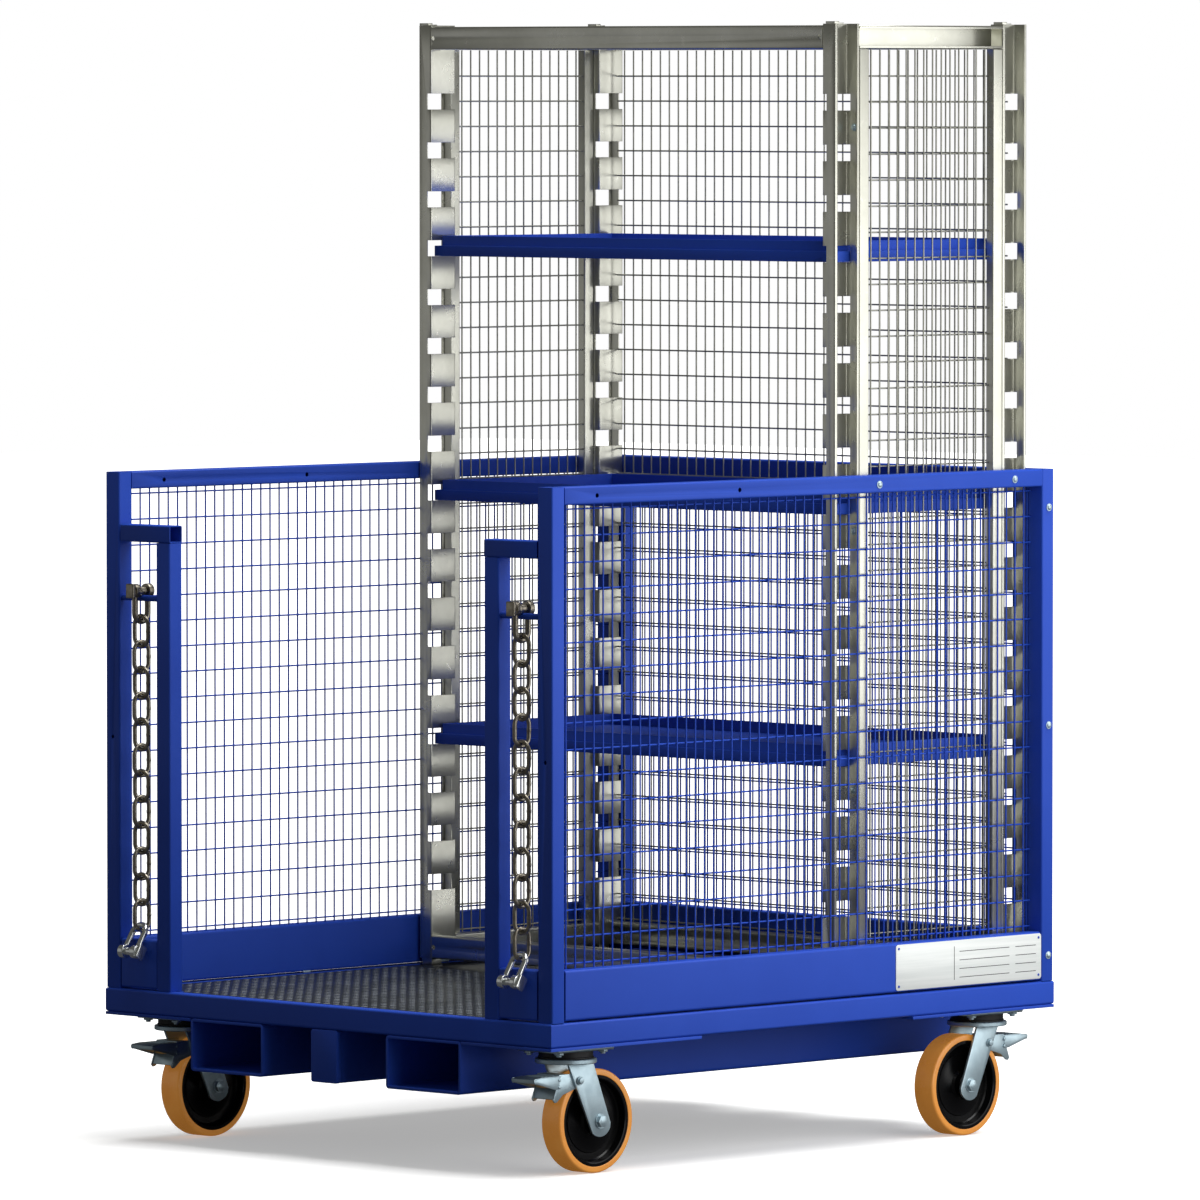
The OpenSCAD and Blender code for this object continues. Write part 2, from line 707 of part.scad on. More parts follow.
// brake: side plates on the stub bolts beside the tyre, a wide tread ahead and a shoe below it
module pedal() {
    outer = cheek_in + cheek_t;
    translate([0, pivot_y, pivot_z]) {
        both_sides() translate([cheek_in, 0, 0]) rotate([90, 0, 90]) linear_extrude(cheek_t) difference() {
            polygon([[-62, -38], [-66, -34], [-52, 16], [9, 15], [9, -10], [-40, -25], [-56, -38]]);
            circle(d = pivot_d + 2 * axle_gap);
        }
        translate([1 - outer, -62, -34]) rotate([-20, 0, 0]) cube([2 * outer - 2, 4, 22]);
        translate([1 - outer, -58, 10]) cube([2 * outer - 2, 36, 4]);
        translate([-30, -119, 8]) rotate([3, 0, 0]) cube([60, 66, 4]);
        translate([-30, -119, -2]) cube([60, 4, 13]);
    }
}

module front_left_fork() color(zinc) castor_at(-1, -1) fork();
module front_right_fork() color(zinc) castor_at(1, -1) fork();
module rear_left_fork() color(zinc) castor_at(-1, 1) fork();
module rear_right_fork() color(zinc) castor_at(1, 1) fork();
module front_left_core() color(dark) castor_at(-1, -1) core();
module front_right_core() color(dark) castor_at(1, -1) core();
module rear_left_core() color(dark) castor_at(-1, 1) core();
module rear_right_core() color(dark) castor_at(1, 1) core();
module front_left_tyre() color("#d68c42") castor_at(-1, -1) tyre();
module front_right_tyre() color("#d68c42") castor_at(1, -1) tyre();
module rear_left_tyre() color("#d68c42") castor_at(-1, 1) tyre();
module rear_right_tyre() color("#d68c42") castor_at(1, 1) tyre();
module front_left_pedal() color(zinc) castor_at(-1, -1) pedal();
module front_right_pedal() color(zinc) castor_at(1, -1) pedal();
module rear_left_pedal() color(zinc) castor_at(-1, 1) pedal();
module rear_right_pedal() color(zinc) castor_at(1, 1) pedal();

end_channels();
side_channels();
left_fork_pocket();
right_fork_pocket();
centre_beam();
castor_mount_plates();
deck_plate();
deck_bearers();
left_panel_frame();
right_panel_frame();
side_kick_plates();
left_panel_mesh();
right_panel_mesh();
back_panel_frame();
back_kick_plate();
back_panel_mesh();
left_wing_frame();
right_wing_frame();
wing_kick_plates();
chain_bars();
front_posts();
rear_posts();
goods_top_rails();
goods_bottom_rails();
post_caps();
goods_side_frames();
goods_left_mesh();
goods_right_mesh();
goods_back_mesh();
top_shelf();
middle_shelf();
bottom_shelf();
nameplate();
frame_bolts();
castor_top_plates();
front_left_fork();
front_right_fork();
rear_left_fork();
rear_right_fork();
front_left_core();
front_right_core();
rear_left_core();
rear_right_core();
front_left_tyre();
front_right_tyre();
rear_left_tyre();
rear_right_tyre();
front_left_pedal();
front_right_pedal();
rear_left_pedal();
rear_right_pedal();
left_top_shackle();
right_top_shackle();
left_upper_links();
right_upper_links();
left_lower_links();
right_lower_links();
left_end_shackle();
right_end_shackle();
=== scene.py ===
"""Order picking cage on castors, dressed round its CAD frame.

Each sub-assembly is a class that holds its sizes in millimetres, builds its meshes and gives them
their finish. Distances along Y are measured from the front edge of the base, and heights from the floor.
"""

import json
import logging
import math
from dataclasses import dataclass, field
from enum import Enum
from typing import Any, Callable, Iterable, Optional, Sequence

import bpy
from mathutils import Matrix, Vector

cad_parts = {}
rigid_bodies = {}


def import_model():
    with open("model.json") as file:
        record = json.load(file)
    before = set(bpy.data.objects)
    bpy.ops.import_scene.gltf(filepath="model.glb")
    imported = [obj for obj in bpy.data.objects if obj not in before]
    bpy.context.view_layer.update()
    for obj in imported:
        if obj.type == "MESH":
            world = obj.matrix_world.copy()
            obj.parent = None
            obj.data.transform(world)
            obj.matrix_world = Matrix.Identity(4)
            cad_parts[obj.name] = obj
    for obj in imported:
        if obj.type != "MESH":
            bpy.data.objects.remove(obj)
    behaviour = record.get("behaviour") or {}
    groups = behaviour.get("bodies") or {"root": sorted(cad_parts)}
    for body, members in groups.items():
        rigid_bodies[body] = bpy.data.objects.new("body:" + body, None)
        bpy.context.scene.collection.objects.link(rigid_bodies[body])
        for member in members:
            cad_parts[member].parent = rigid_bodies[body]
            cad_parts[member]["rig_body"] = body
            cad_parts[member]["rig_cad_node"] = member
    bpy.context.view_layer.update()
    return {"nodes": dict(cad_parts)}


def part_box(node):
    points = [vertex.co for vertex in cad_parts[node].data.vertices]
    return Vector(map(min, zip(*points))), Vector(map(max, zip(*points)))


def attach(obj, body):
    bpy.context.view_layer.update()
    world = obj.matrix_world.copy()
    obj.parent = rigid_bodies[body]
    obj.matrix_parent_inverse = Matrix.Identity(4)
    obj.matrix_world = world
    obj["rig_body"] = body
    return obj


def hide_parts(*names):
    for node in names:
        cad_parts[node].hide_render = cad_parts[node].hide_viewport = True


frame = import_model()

log = logging.getLogger("picking_cage")

MM = 0.001
BASE_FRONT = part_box("end_channels")[0].y
RIGHT, LEFT = 1, -1


# ---------------------------------------------------------------- workshop


class Axis(Enum):
    """Which way a round, turned or pressed piece points."""

    X = (0.0, math.pi / 2, 0.0)
    Y = (-math.pi / 2, 0.0, 0.0)
    Z = (0.0, 0.0, 0.0)

    def turn(self) -> Matrix:
        """Return the rotation that brings +Z onto this axis."""
        return {
            "X": Matrix(((0, 0, 1, 0), (1, 0, 0, 0), (0, 1, 0, 0), (0, 0, 0, 1))),
            "Y": Matrix(((0, 1, 0, 0), (0, 0, 1, 0), (1, 0, 0, 0), (0, 0, 0, 1))),
            "Z": Matrix.Identity(4),
        }[self.name]


def at(x: float, y: float, z: float) -> Vector:
    """Turn millimetres from the middle, the base's front edge and the floor into the frame's metres.

    Args:
        x: Distance to the right of the middle.
        y: Distance behind the front edge of the base.
        z: Height above the floor.

    Returns:
        The point in the frame, in metres.
    """
    return Vector((x * MM, y * MM + BASE_FRONT, z * MM))


def clear_selection() -> None:
    """Leave edit mode and select nothing."""
    if bpy.context.mode != "OBJECT":
        bpy.ops.object.mode_set(mode="OBJECT")
    bpy.ops.object.select_all(action="DESELECT")


def pick(*pieces: bpy.types.Object) -> None:
    """Select these pieces only, the first one active."""
    clear_selection()
    for piece in pieces:
        piece.select_set(True)
    bpy.context.view_layer.objects.active = pieces[0]


def settle(piece: bpy.types.Object) -> bpy.types.Object:
    """Move a piece's place, turn and scale into its mesh.

    Args:
        piece: The object to settle.

    Returns:
        The same object, at the origin.
    """
    pick(piece)
    bpy.ops.object.transform_apply(location=True, rotation=True, scale=True)
    return piece


def choose(piece: bpy.types.Object, test: Callable[[Vector], bool], mode: str = "VERT") -> None:
    """Select the vertices or the faces whose place passes a test, and enter edit mode.

    Args:
        piece: The mesh object.
        test: Takes a vertex's or face centre's place and says whether to select it.
        mode: "VERT" or "FACE".
    """
    pick(piece)
    bpy.ops.object.mode_set(mode="EDIT")
    bpy.ops.mesh.select_mode(type=mode)
    bpy.ops.mesh.select_all(action="DESELECT")
    bpy.ops.object.mode_set(mode="OBJECT")
    mesh = piece.data
    if mode == "FACE":
        for polygon in mesh.polygons:
            polygon.select = test(polygon.center)
    else:
        for vertex in mesh.vertices:
            vertex.select = test(vertex.co)
    bpy.ops.object.mode_set(mode="EDIT")


def face_out(piece: bpy.types.Object) -> bpy.types.Object:
    """Merge doubles and turn every face outwards.

    Args:
        piece: The mesh object.

    Returns:
        The same object.
    """
    pick(piece)
    bpy.ops.object.mode_set(mode="EDIT")
    bpy.ops.mesh.select_all(action="SELECT")
    bpy.ops.mesh.remove_doubles(threshold=0.00001)
    bpy.ops.mesh.normals_make_consistent(inside=False)
    bpy.ops.object.mode_set(mode="OBJECT")
    return piece


def block(name: str, low: Vector, high: Vector) -> bpy.types.Object:
    """Add a box between two corners.

    Args:
        name: The piece's name.
        low: Lowest corner in metres.
        high: Highest corner in metres.

    Returns:
        The new object.
    """
    clear_selection()
    bpy.ops.mesh.primitive_cube_add(size=1.0, location=(low + high) / 2)
    piece = bpy.context.active_object
    piece.name = name
    piece.scale = high - low
    return settle(piece)


def drum(name: str, centre: Vector, radius: float, length: float, axis: Axis, sides: int = 40) -> bpy.types.Object:
    """Add a round or many-sided bar centred on a point.

    Args:
        name: The piece's name.
        centre: Middle of the bar in metres.
        radius: Radius in millimetres.
        length: Length in millimetres.
        axis: The way it points.
        sides: Number of sides.

    Returns:
        The new object.
    """
    clear_selection()
    bpy.ops.mesh.primitive_cylinder_add(
        vertices=sides, radius=radius * MM, depth=length * MM, location=centre, rotation=axis.value
    )
    piece = bpy.context.active_object
    piece.name = name
    return settle(piece)


def outline(name: str, points: Sequence[tuple[float, float]], filled: bool) -> bpy.types.Object:
    """Lay a closed outline in the XY plane, starting from a circle with as many vertices.

    Args:
        name: The piece's name.
        points: Corners in millimetres, in order.
        filled: Whether the outline has a face.

    Returns:
        The new object.
    """
    clear_selection()
    bpy.ops.mesh.primitive_circle_add(
        vertices=len(points), radius=1.0, fill_type="NGON" if filled else "NOTHING"
    )
    piece = bpy.context.active_object
    piece.name = name
    for vertex, (u, v) in zip(piece.data.vertices, points):
        vertex.co = (u * MM, v * MM, 0.0)
    return piece


def turned(
    name: str, profile: Sequence[tuple[float, float]], centre: Vector, axis: Axis, steps: int = 64
) -> bpy.types.Object:
    """Spin a closed profile round an axis, as on a lathe.

    Args:
        name: The piece's name.
        profile: (radius, place along the axis) corners in millimetres.
        centre: Zero of the profile in metres.
        axis: The axis it is spun round.
        steps: Number of steps in a full turn.

    Returns:
        The new object.
    """
    piece = outline(name, profile, filled=False)
    for vertex in piece.data.vertices:
        vertex.co = (vertex.co.x, 0.0, vertex.co.y)
    pick(piece)
    bpy.ops.object.mode_set(mode="EDIT")
    bpy.ops.mesh.select_all(action="SELECT")
    bpy.ops.mesh.spin(steps=steps, angle=2 * math.pi, center=(0, 0, 0), axis=(0, 0, 1), use_auto_merge=True)
    bpy.ops.object.mode_set(mode="OBJECT")
    face_out(piece)
    piece.data.transform(Matrix.Translation(centre) @ axis.turn())
    return piece


def pressed(name: str, points: Sequence[tuple[float, float]], place: Matrix, depth: float) -> bpy.types.Object:
    """Extrude a flat outline into a plate.

    Args:
        name: The piece's name.
        points: Corners of the outline in millimetres.
        place: Where the outline's plane goes.
        depth: Thickness in millimetres, along the plane's +Z.

    Returns:
        The new object.
    """
    piece = outline(name, points, filled=True)
    pick(piece)
    bpy.ops.object.mode_set(mode="EDIT")
    bpy.ops.mesh.select_all(action="SELECT")
    bpy.ops.mesh.extrude_region_move(TRANSFORM_OT_translate={"value": (0, 0, depth * MM)})
    bpy.ops.object.mode_set(mode="OBJECT")
    piece.data.transform(place)
    return face_out(piece)


def side_plane(x: float, y: float, z: float) -> Matrix:
    """Return the plane whose outline runs along +Y and +Z and thickens towards +X, at a point."""
    return Matrix.Translation(at(x, y, z)) @ Axis.X.turn()


def apply_modifier(piece: bpy.types.Object, kind: str, **settings: Any) -> bpy.types.Object:
    """Add a modifier with its settings and apply it.

    Args:
        piece: The object to change.
        kind: Blender's modifier type.
        **settings: Properties of the modifier.

    Returns:
        The same object.
    """
    pick(piece)
    bpy.ops.object.modifier_add(type=kind)
    modifier = piece.modifiers[-1]
    for key, value in settings.items():
        setattr(modifier, key, value)
    bpy.ops.object.modifier_apply(modifier=modifier.name)
    return piece


def soften(piece: bpy.types.Object, width: float, segments: int = 2, angle: float = 32.0) -> bpy.types.Object:
    """Round a piece's edges and shade it smooth between them.

    Args:
        piece: The object to change.
        width: Width of the rounding in millimetres.
        segments: Facets across the rounding.
        angle: Edges sharper than this many degrees are rounded.

    Returns:
        The same object.
    """
    apply_modifier(
        piece, "BEVEL", width=width * MM, segments=segments, limit_method="ANGLE",
        angle_limit=math.radians(angle), harden_normals=False,
    )
    return shade(piece)


def shade(piece: bpy.types.Object, angle: float = 38.0) -> bpy.types.Object:
    """Shade a piece smooth across edges flatter than an angle in degrees, and return it."""
    pick(piece)
    bpy.ops.object.shade_smooth_by_angle(angle=math.radians(angle))
    return piece


def stamp(piece: bpy.types.Object, places: Iterable[Matrix], keep: bool = True) -> list[bpy.types.Object]:
    """Copy a finished piece to several places, each copy with its own mesh.

    Args:
        piece: The piece modelled once.
        places: One matrix for each copy.
        keep: Whether the piece itself stays.

    Returns:
        The copies, after the piece itself if it stays.
    """
    copies = [piece] if keep else []
    for place in places:
        twin = piece.copy()
        twin.data = piece.data.copy()
        twin.data.transform(place)
        bpy.context.scene.collection.objects.link(twin)
        if place.determinant() < 0:
            face_out(twin)
        copies.append(twin)
    if not keep:
        bpy.data.objects.remove(piece)
    return copies


def join(name: str, pieces: Sequence[bpy.types.Object]) -> bpy.types.Object:
    """Join pieces into one object.

    Args:
        name: Name of the joined piece.
        pieces: The objects to join.

    Returns:
        The joined object.
    """
    pick(*pieces)
    if len(pieces) > 1:
        bpy.ops.object.join()
    pieces[0].name = name
    return pieces[0]


def copy_of(node: str, dissolve: bool = True) -> bpy.types.Object:
    """Copy a CAD node, weld its loose triangles together and clear the lines across its flat faces.

    Args:
        node: Name of the CAD node.
        dissolve: Whether triangles in one plane become one face.

    Returns:
        The copy, ready to be shaped.
    """
    source = frame["nodes"][node]
    piece = source.copy()
    piece.data = source.data.copy()
    piece.parent = None
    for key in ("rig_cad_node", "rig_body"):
        if key in piece:
            del piece[key]
    bpy.context.scene.collection.objects.link(piece)
    piece.name = node + "_dressed"
    pick(piece)
    bpy.ops.object.mode_set(mode="EDIT")
    bpy.ops.mesh.select_all(action="SELECT")
    bpy.ops.mesh.customdata_custom_splitnormals_clear()
    bpy.ops.mesh.remove_doubles(threshold=0.00001)
    if dissolve:
        bpy.ops.mesh.dissolve_limited(angle_limit=math.radians(0.5))
    bpy.ops.object.mode_set(mode="OBJECT")
    return piece


# ---------------------------------------------------------------- finishes


def linear(code: str) -> tuple[float, float, float, float]:
    """Turn an sRGB hex code into linear red, green, blue and alpha.

    Args:
        code: Six hex digits.

    Returns:
        The colour as Blender's shaders take it.
    """
    channels = [int(code[i : i + 2], 16) / 255 for i in (0, 2, 4)]
    lin = [c / 12.92 if c <= 0.04045 else ((c + 0.055) / 1.055) ** 2.4 for c in channels]
    return (lin[0], lin[1], lin[2], 1.0)


def add_node(tree: bpy.types.NodeTree, kind: str, sockets: Optional[dict] = None, **settings: Any) -> bpy.types.Node:
    """Add a shader node with its settings, values and incoming links.

    Args:
        tree: The material's node tree.
        kind: Blender's node type.
        sockets: Input name or index to a value, or to the output socket that feeds it.
        **settings: Properties of the node.

    Returns:
        The new node.
    """
    node = tree.nodes.new(kind)
    for key, value in settings.items():
        setattr(node, key, value)
    for key, value in (sockets or {}).items():
        if isinstance(value, bpy.types.NodeSocket):
            tree.links.new(value, node.inputs[key])
        else:
            node.inputs[key].default_value = value
    return node


class Pattern(Enum):
    """What a finish shows when seen close."""

    ORANGE_PEEL = "fine rounded ripple of baked powder"
    SPANGLE = "zinc crystals with run marks"
    SATIN_ZINC = "fine even grain of a plated skin"
    MILL_SCALE = "cloudy dark skin of rolled or forged steel"
    BRUSHED = "fine lines along Y"
    MOULDED = "fine spark-eroded texture"


@dataclass(frozen=True)
class Finish:
    """One surface finish.

    Attributes:
        name: What the finish is.
        slot: The record's material slot. Not used.
        light: sRGB hex of its lighter areas.
        dark: sRGB hex of its darker areas.
        metallic: Metallic value.
        roughness: Lowest and highest roughness.
        pattern: What it shows when seen close.
        grain: Size of the pattern in millimetres.
        bump: Height of the pattern in millimetres.
        patch: Size of the colour patches in millimetres.
        shine: Strength of the surface reflection, 0.5 for a plain gloss.
        painted_glow: Painted light, an emission that lightens the material's shaded side, so it glows though it is no
            lamp.
    """

    name: str
    slot: str
    light: str
    dark: str
    metallic: float
    roughness: tuple[float, float]
    pattern: Pattern
    grain: float
    bump: float
    patch: float
    shine: float = 0.5
    # emission strength: painted light that lightens the shaded side
    painted_glow: float = 0.0

    def _coordinates(self, tree: bpy.types.NodeTree) -> bpy.types.NodeSocket:
        """Return object coordinates, stretched along the run of the pattern where it has one."""
        place = add_node(tree, "ShaderNodeTexCoord").outputs["Object"]
        stretch = {Pattern.BRUSHED: (1.0, 0.03, 1.0)}.get(self.pattern, (1.0, 1.0, 1.0))
        return add_node(tree, "ShaderNodeMapping", {"Vector": place, "Scale": stretch}).outputs["Vector"]

    def _fine(self, tree: bpy.types.NodeTree, place: bpy.types.NodeSocket) -> bpy.types.NodeSocket:
        """Return the height of the fine pattern, from 0 to 1."""
        scale = 1.0 / (self.grain * MM)
        if self.pattern is Pattern.SPANGLE:
            cells = add_node(tree, "ShaderNodeTexVoronoi", {"Vector": place, "Scale": scale, "Randomness": 1.0})
            return add_node(tree, "ShaderNodeSeparateColor", {"Color": cells.outputs["Color"]}).outputs["Red"]
        detail = 2.0 if self.pattern in (Pattern.ORANGE_PEEL, Pattern.MOULDED) else 5.0
        sockets = {"Vector": place, "Scale": scale, "Detail": detail}
        return add_node(tree, "ShaderNodeTexNoise", sockets).outputs["Fac"]

    def _patches(self, tree: bpy.types.NodeTree, place: bpy.types.NodeSocket) -> bpy.types.NodeSocket:
        """Return soft patches from 0 to 1, with thin run marks on zinc."""
        cloud = add_node(
            tree, "ShaderNodeTexNoise",
            {"Vector": place, "Scale": 1.0 / (self.patch * MM), "Detail": 4.0, "Roughness": 0.55},
        )
        soft = add_node(
            tree, "ShaderNodeMapRange",
            {"Value": cloud.outputs["Fac"], "From Min": 0.32, "From Max": 0.68}, clamp=True,
        ).outputs["Result"]
        if self.pattern is not Pattern.SPANGLE:
            return soft
        runs = add_node(
            tree, "ShaderNodeTexNoise",
            {"Vector": place, "Scale": 14.0, "Detail": 6.0, "Roughness": 0.6, "Distortion": 2.6},
        )
        streak = add_node(
            tree, "ShaderNodeMapRange",
            {"Value": runs.outputs["Fac"], "From Min": 0.62, "From Max": 0.70, "To Max": 0.8}, clamp=True,
        ).outputs["Result"]
        return add_node(tree, "ShaderNodeMath", {0: soft, 1: streak}, operation="ADD", use_clamp=True).outputs[0]

    def material(self) -> bpy.types.Material:
        """Build the material once and return it."""
        known = bpy.data.materials.get(self.name)
        if known is not None:
            return known
        material = bpy.data.materials.new(self.name)
        material.use_nodes = True
        tree = material.node_tree
        tree.nodes.clear()
        place = self._coordinates(tree)
        fine = self._fine(tree, place)
        patches = self._patches(tree, place)
        weight = 0.12 if self.pattern is Pattern.SPANGLE else 0.35
        mixed = add_node(tree, "ShaderNodeMath", {0: fine, 1: weight, 2: 0.0}, operation="MULTIPLY_ADD").outputs[0]
        share = add_node(tree, "ShaderNodeMath", {0: patches, 1: 0.65, 2: mixed}, operation="MULTIPLY_ADD").outputs[0]
        colour = add_node(
            tree, "ShaderNodeMix", {0: share, 6: linear(self.dark), 7: linear(self.light)}, data_type="RGBA"
        ).outputs[2]
        rough = add_node(
            tree, "ShaderNodeMapRange",
            {"Value": share, "To Min": self.roughness[1], "To Max": self.roughness[0]}, clamp=True,
        ).outputs["Result"]
        bump = add_node(
            tree, "ShaderNodeBump", {"Height": fine, "Strength": 0.5, "Distance": self.bump * MM}
        ).outputs["Normal"]
        # the emission, fed with the surface colour, is painted light; its strength is zero for most finishes
        shader = add_node(
            tree, "ShaderNodeBsdfPrincipled",
            {"Base Color": colour, "Roughness": rough, "Normal": bump, "Metallic": self.metallic,
             "Specular IOR Level": self.shine, "Emission Color": colour, "Emission Strength": self.painted_glow},
        )
        add_node(tree, "ShaderNodeOutputMaterial", {"Surface": shader.outputs["BSDF"]})
        return material


# polyester powder on steel: even deep blue with a soft gloss and a faint orange peel of about 2.5 mm
POWDER = Finish("powder_coated_steel", "blue_powder_coat", "2B52C4", "274BB8", 0.0, (0.40, 0.48),
                Pattern.ORANGE_PEEL, 2.5, 0.02, 240.0, 0.16)
# hot-dip galvanised strip: dull grey crystals 9 mm across with brighter run marks
GALVANISED = Finish("galvanised_strip", "galvanised_steel", "DCDCD1", "C8C8BC", 0.95, (0.25, 0.31),
                    Pattern.SPANGLE, 9.0, 0.002, 160.0)
# galvanised wire: as the strip, with crystals too small to see, drawn at 3 mm
WIRE = Finish("galvanised_wire", "galvanised_steel", "B4B4AA", "98988E", 0.9, (0.30, 0.42),
              Pattern.SATIN_ZINC, 3.0, 0.01, 60.0)
# bright zinc plate on pressed steel: pale blue-grey satin
PLATED = Finish("zinc_plated_pressing", "zinc_plate", "C6DAE2", "A9C0CA", 0.72, (0.34, 0.44),
                Pattern.SATIN_ZINC, 0.8, 0.01, 30.0)
# forged and plated shackle: bright, with soft clouds
FORGED = Finish("bright_zinc_forging", "zinc_plate", "F2F4F2", "D6DAD8", 0.95, (0.16, 0.26),
                Pattern.SATIN_ZINC, 1.6, 0.01, 20.0)
# plain welded chain: warm grey steel, rubbed bright in patches
CHAIN = Finish("plain_chain_steel", "chain_steel", "B0A898", "7C7668", 0.92, (0.26, 0.42),
               Pattern.MILL_SCALE, 1.6, 0.02, 14.0)
# rolled chequer plate: dark oiled mill skin
CHEQUER = Finish("rolled_chequer_plate", "deck_steel", "505458", "34373A", 0.85, (0.32, 0.46),
                 Pattern.MILL_SCALE, 4.0, 0.01, 90.0)
# cast polyurethane: warm orange with a clear gloss and slow tonal change, and painted light: an emission that
# lightens its shaded side
URETHANE = Finish("cast_polyurethane", "wheel_tyre", "E39A48", "D98C3B", 0.0, (0.22, 0.30),
                  Pattern.MOULDED, 1.2, 0.008, 45.0, 0.6, 0.3)
# moulded nylon: near black, half gloss, fine spark texture
NYLON = Finish("moulded_black_nylon", "wheel_core", "0C0C0D", "070708", 0.0, (0.14, 0.22),
               Pattern.MOULDED, 0.9, 0.01, 25.0, 0.2)
# seal rubber: black and matt
RUBBER = Finish("black_seal_rubber", "wheel_core", "131313", "0B0B0C", 0.0, (0.48, 0.6),
                Pattern.MOULDED, 0.8, 0.02, 20.0)
# light zinc-coated sheet: pale, with short brush lines
PLATE = Finish("brushed_nameplate_sheet", "nameplate_alu", "F2F5F3", "DDE2E0", 0.15, (0.38, 0.5),
               Pattern.BRUSHED, 1.0, 0.01, 9.0)


def hand_over(piece: bpy.types.Object, finish: Finish, body: str, *replaced: str) -> bpy.types.Object:
    """Give a piece its finish and its body, and hide the CAD nodes that it stands for.

    Args:
        piece: The finished piece.
        finish: Its surface.
        body: The CAD body it moves with.
        *replaced: CAD nodes that it stands for.

    Returns:
        The same piece.
    """
    piece.data.materials.clear()
    piece.data.materials.append(finish.material())
    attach(piece, body)
    if replaced:
        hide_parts(*replaced)
    log.info("%s: %d faces", piece.name, len(piece.data.polygons))
    return piece


# ---------------------------------------------------------------- base


@dataclass
class Base:
    """Folded channels, fork pockets, centre beam, mount plates and the chequer deck.

    Attributes:
        half_width: Half the width of the base.
        depth: Depth of the base.
        deck_top: Height of the deck between its treads.
        deck_half: Half the width of the deck.
        notch: Where the deck is cut back round the wings, from the middle and from the front.
        seam: Where the operator's plate ends, from the front.
        weld: Distance of the pocket welds from each end, and their height.
        tread_pitch: Distance between treads.
        tread_length: Length of a tread.
        tread_height: Height of a tread.
    """

    half_width: float = 615.0
    depth: float = 1425.0
    deck_top: float = 298.5
    deck_half: float = 575.0
    notch: tuple[float, float] = (431.0, 38.0)
    seam: float = 828.0
    weld: tuple[float, float] = (26.5, 251.6)
    tread_pitch: float = 26.0
    tread_length: float = 17.0
    tread_height: float = 0.9

    def build(self) -> None:
        """Build every piece of the base."""
        for node, width in (("end_channels", 1.0), ("side_channels", 1.0), ("left_fork_pocket", 0.8),
                            ("right_fork_pocket", 0.8), ("centre_beam", 0.8), ("castor_mount_plates", 0.6),
                            ("deck_bearers", 0.6)):
            hand_over(soften(copy_of(node), width), POWDER, "cage", node)
        hand_over(soften(copy_of("deck_plate"), 0.5), CHEQUER, "cage", "deck_plate")
        self._treads()
        self._tabs()
        self._welds()

    def _tread(self, turn: float, x: float, y: float) -> bpy.types.Object:
        """Return one lens-shaped tread, turned by some degrees, at a place on the deck."""
        tread = drum("tread", Vector((0, 0, 0)), 1.0, 1.0, Axis.Z, sides=8)
        tread.data.transform(Matrix.Diagonal((self.tread_length / 2, 2.1, self.tread_height, 1)))
        choose(tread, lambda place: place.z > 0)
        bpy.ops.transform.resize(value=(0.72, 0.5, 1.0))
        bpy.ops.object.mode_set(mode="OBJECT")
        spot = at(x, y, self.deck_top + self.tread_height / 2 - 0.1)
        tread.data.transform(Matrix.Translation(spot) @ Matrix.Rotation(math.radians(turn), 4, "Z"))
        return tread

    def _repeat(self, piece: bpy.types.Object, columns: int, rows: int) -> bpy.types.Object:
        """Repeat a piece at the tread pitch across and along the deck."""
        for count, offset in ((columns, (self.tread_pitch * MM, 0, 0)), (rows, (0, self.tread_pitch * MM, 0))):
            apply_modifier(piece, "ARRAY", count=count, use_relative_offset=False, use_constant_offset=True,
                           constant_offset_displace=offset)
        return piece

    def _treads(self) -> None:
        """Cover the operator's plate with treads in two crossed directions, one short row between the wings."""
        half = self.tread_pitch / 2
        x, y = 13 - self.deck_half, self.notch[1] + 9
        pair = join("deck_treads", [self._tread(45, x, y), self._tread(-45, x + half, y + half)])
        columns = int((2 * self.deck_half - 20) / self.tread_pitch)
        self._repeat(pair, columns, int((self.seam - y - 10) / self.tread_pitch))
        skipped = math.ceil((self.deck_half - self.notch[0]) / self.tread_pitch)
        row = self._tread(-45, x + half + skipped * self.tread_pitch, y - half)
        self._repeat(row, columns - 2 * skipped, 1)
        hand_over(shade(join("deck_treads", [pair, row]), 20), CHEQUER, "cage")

    def _welds(self) -> None:
        """Lay short weld beads where the pockets and the beam meet the channels above them."""
        beads = []
        for y in (self.weld[0], self.depth - self.weld[0]):
            for x, length in ((-271, 176), (0, 56), (271, 176)):
                beads.append(soften(drum("bead", at(x, y, self.weld[1]), 2.6, length, Axis.X, 12), 1.4, 2))
        hand_over(join("pocket_welds", beads), POWDER, "cage")

    def _tabs(self) -> None:
        """Add the small clips that hold the kick plates down along the sides."""
        low = at(self.half_width - 37.5, 118, 300.2)
        clip = soften(block("kick_clips", low, low + Vector((3.0, 22, 4.5)) * MM), 0.8)
        row = stamp(clip, [Matrix.Translation((0, step * MM, 0)) for step in (390, 780, 1150)])
        row += [twin for piece in list(row) for twin in stamp(piece, [Matrix.Diagonal((-1, 1, 1, 1))])[1:]]
        hand_over(join("kick_clips", row), PLATED, "cage")


# ---------------------------------------------------------------- guards


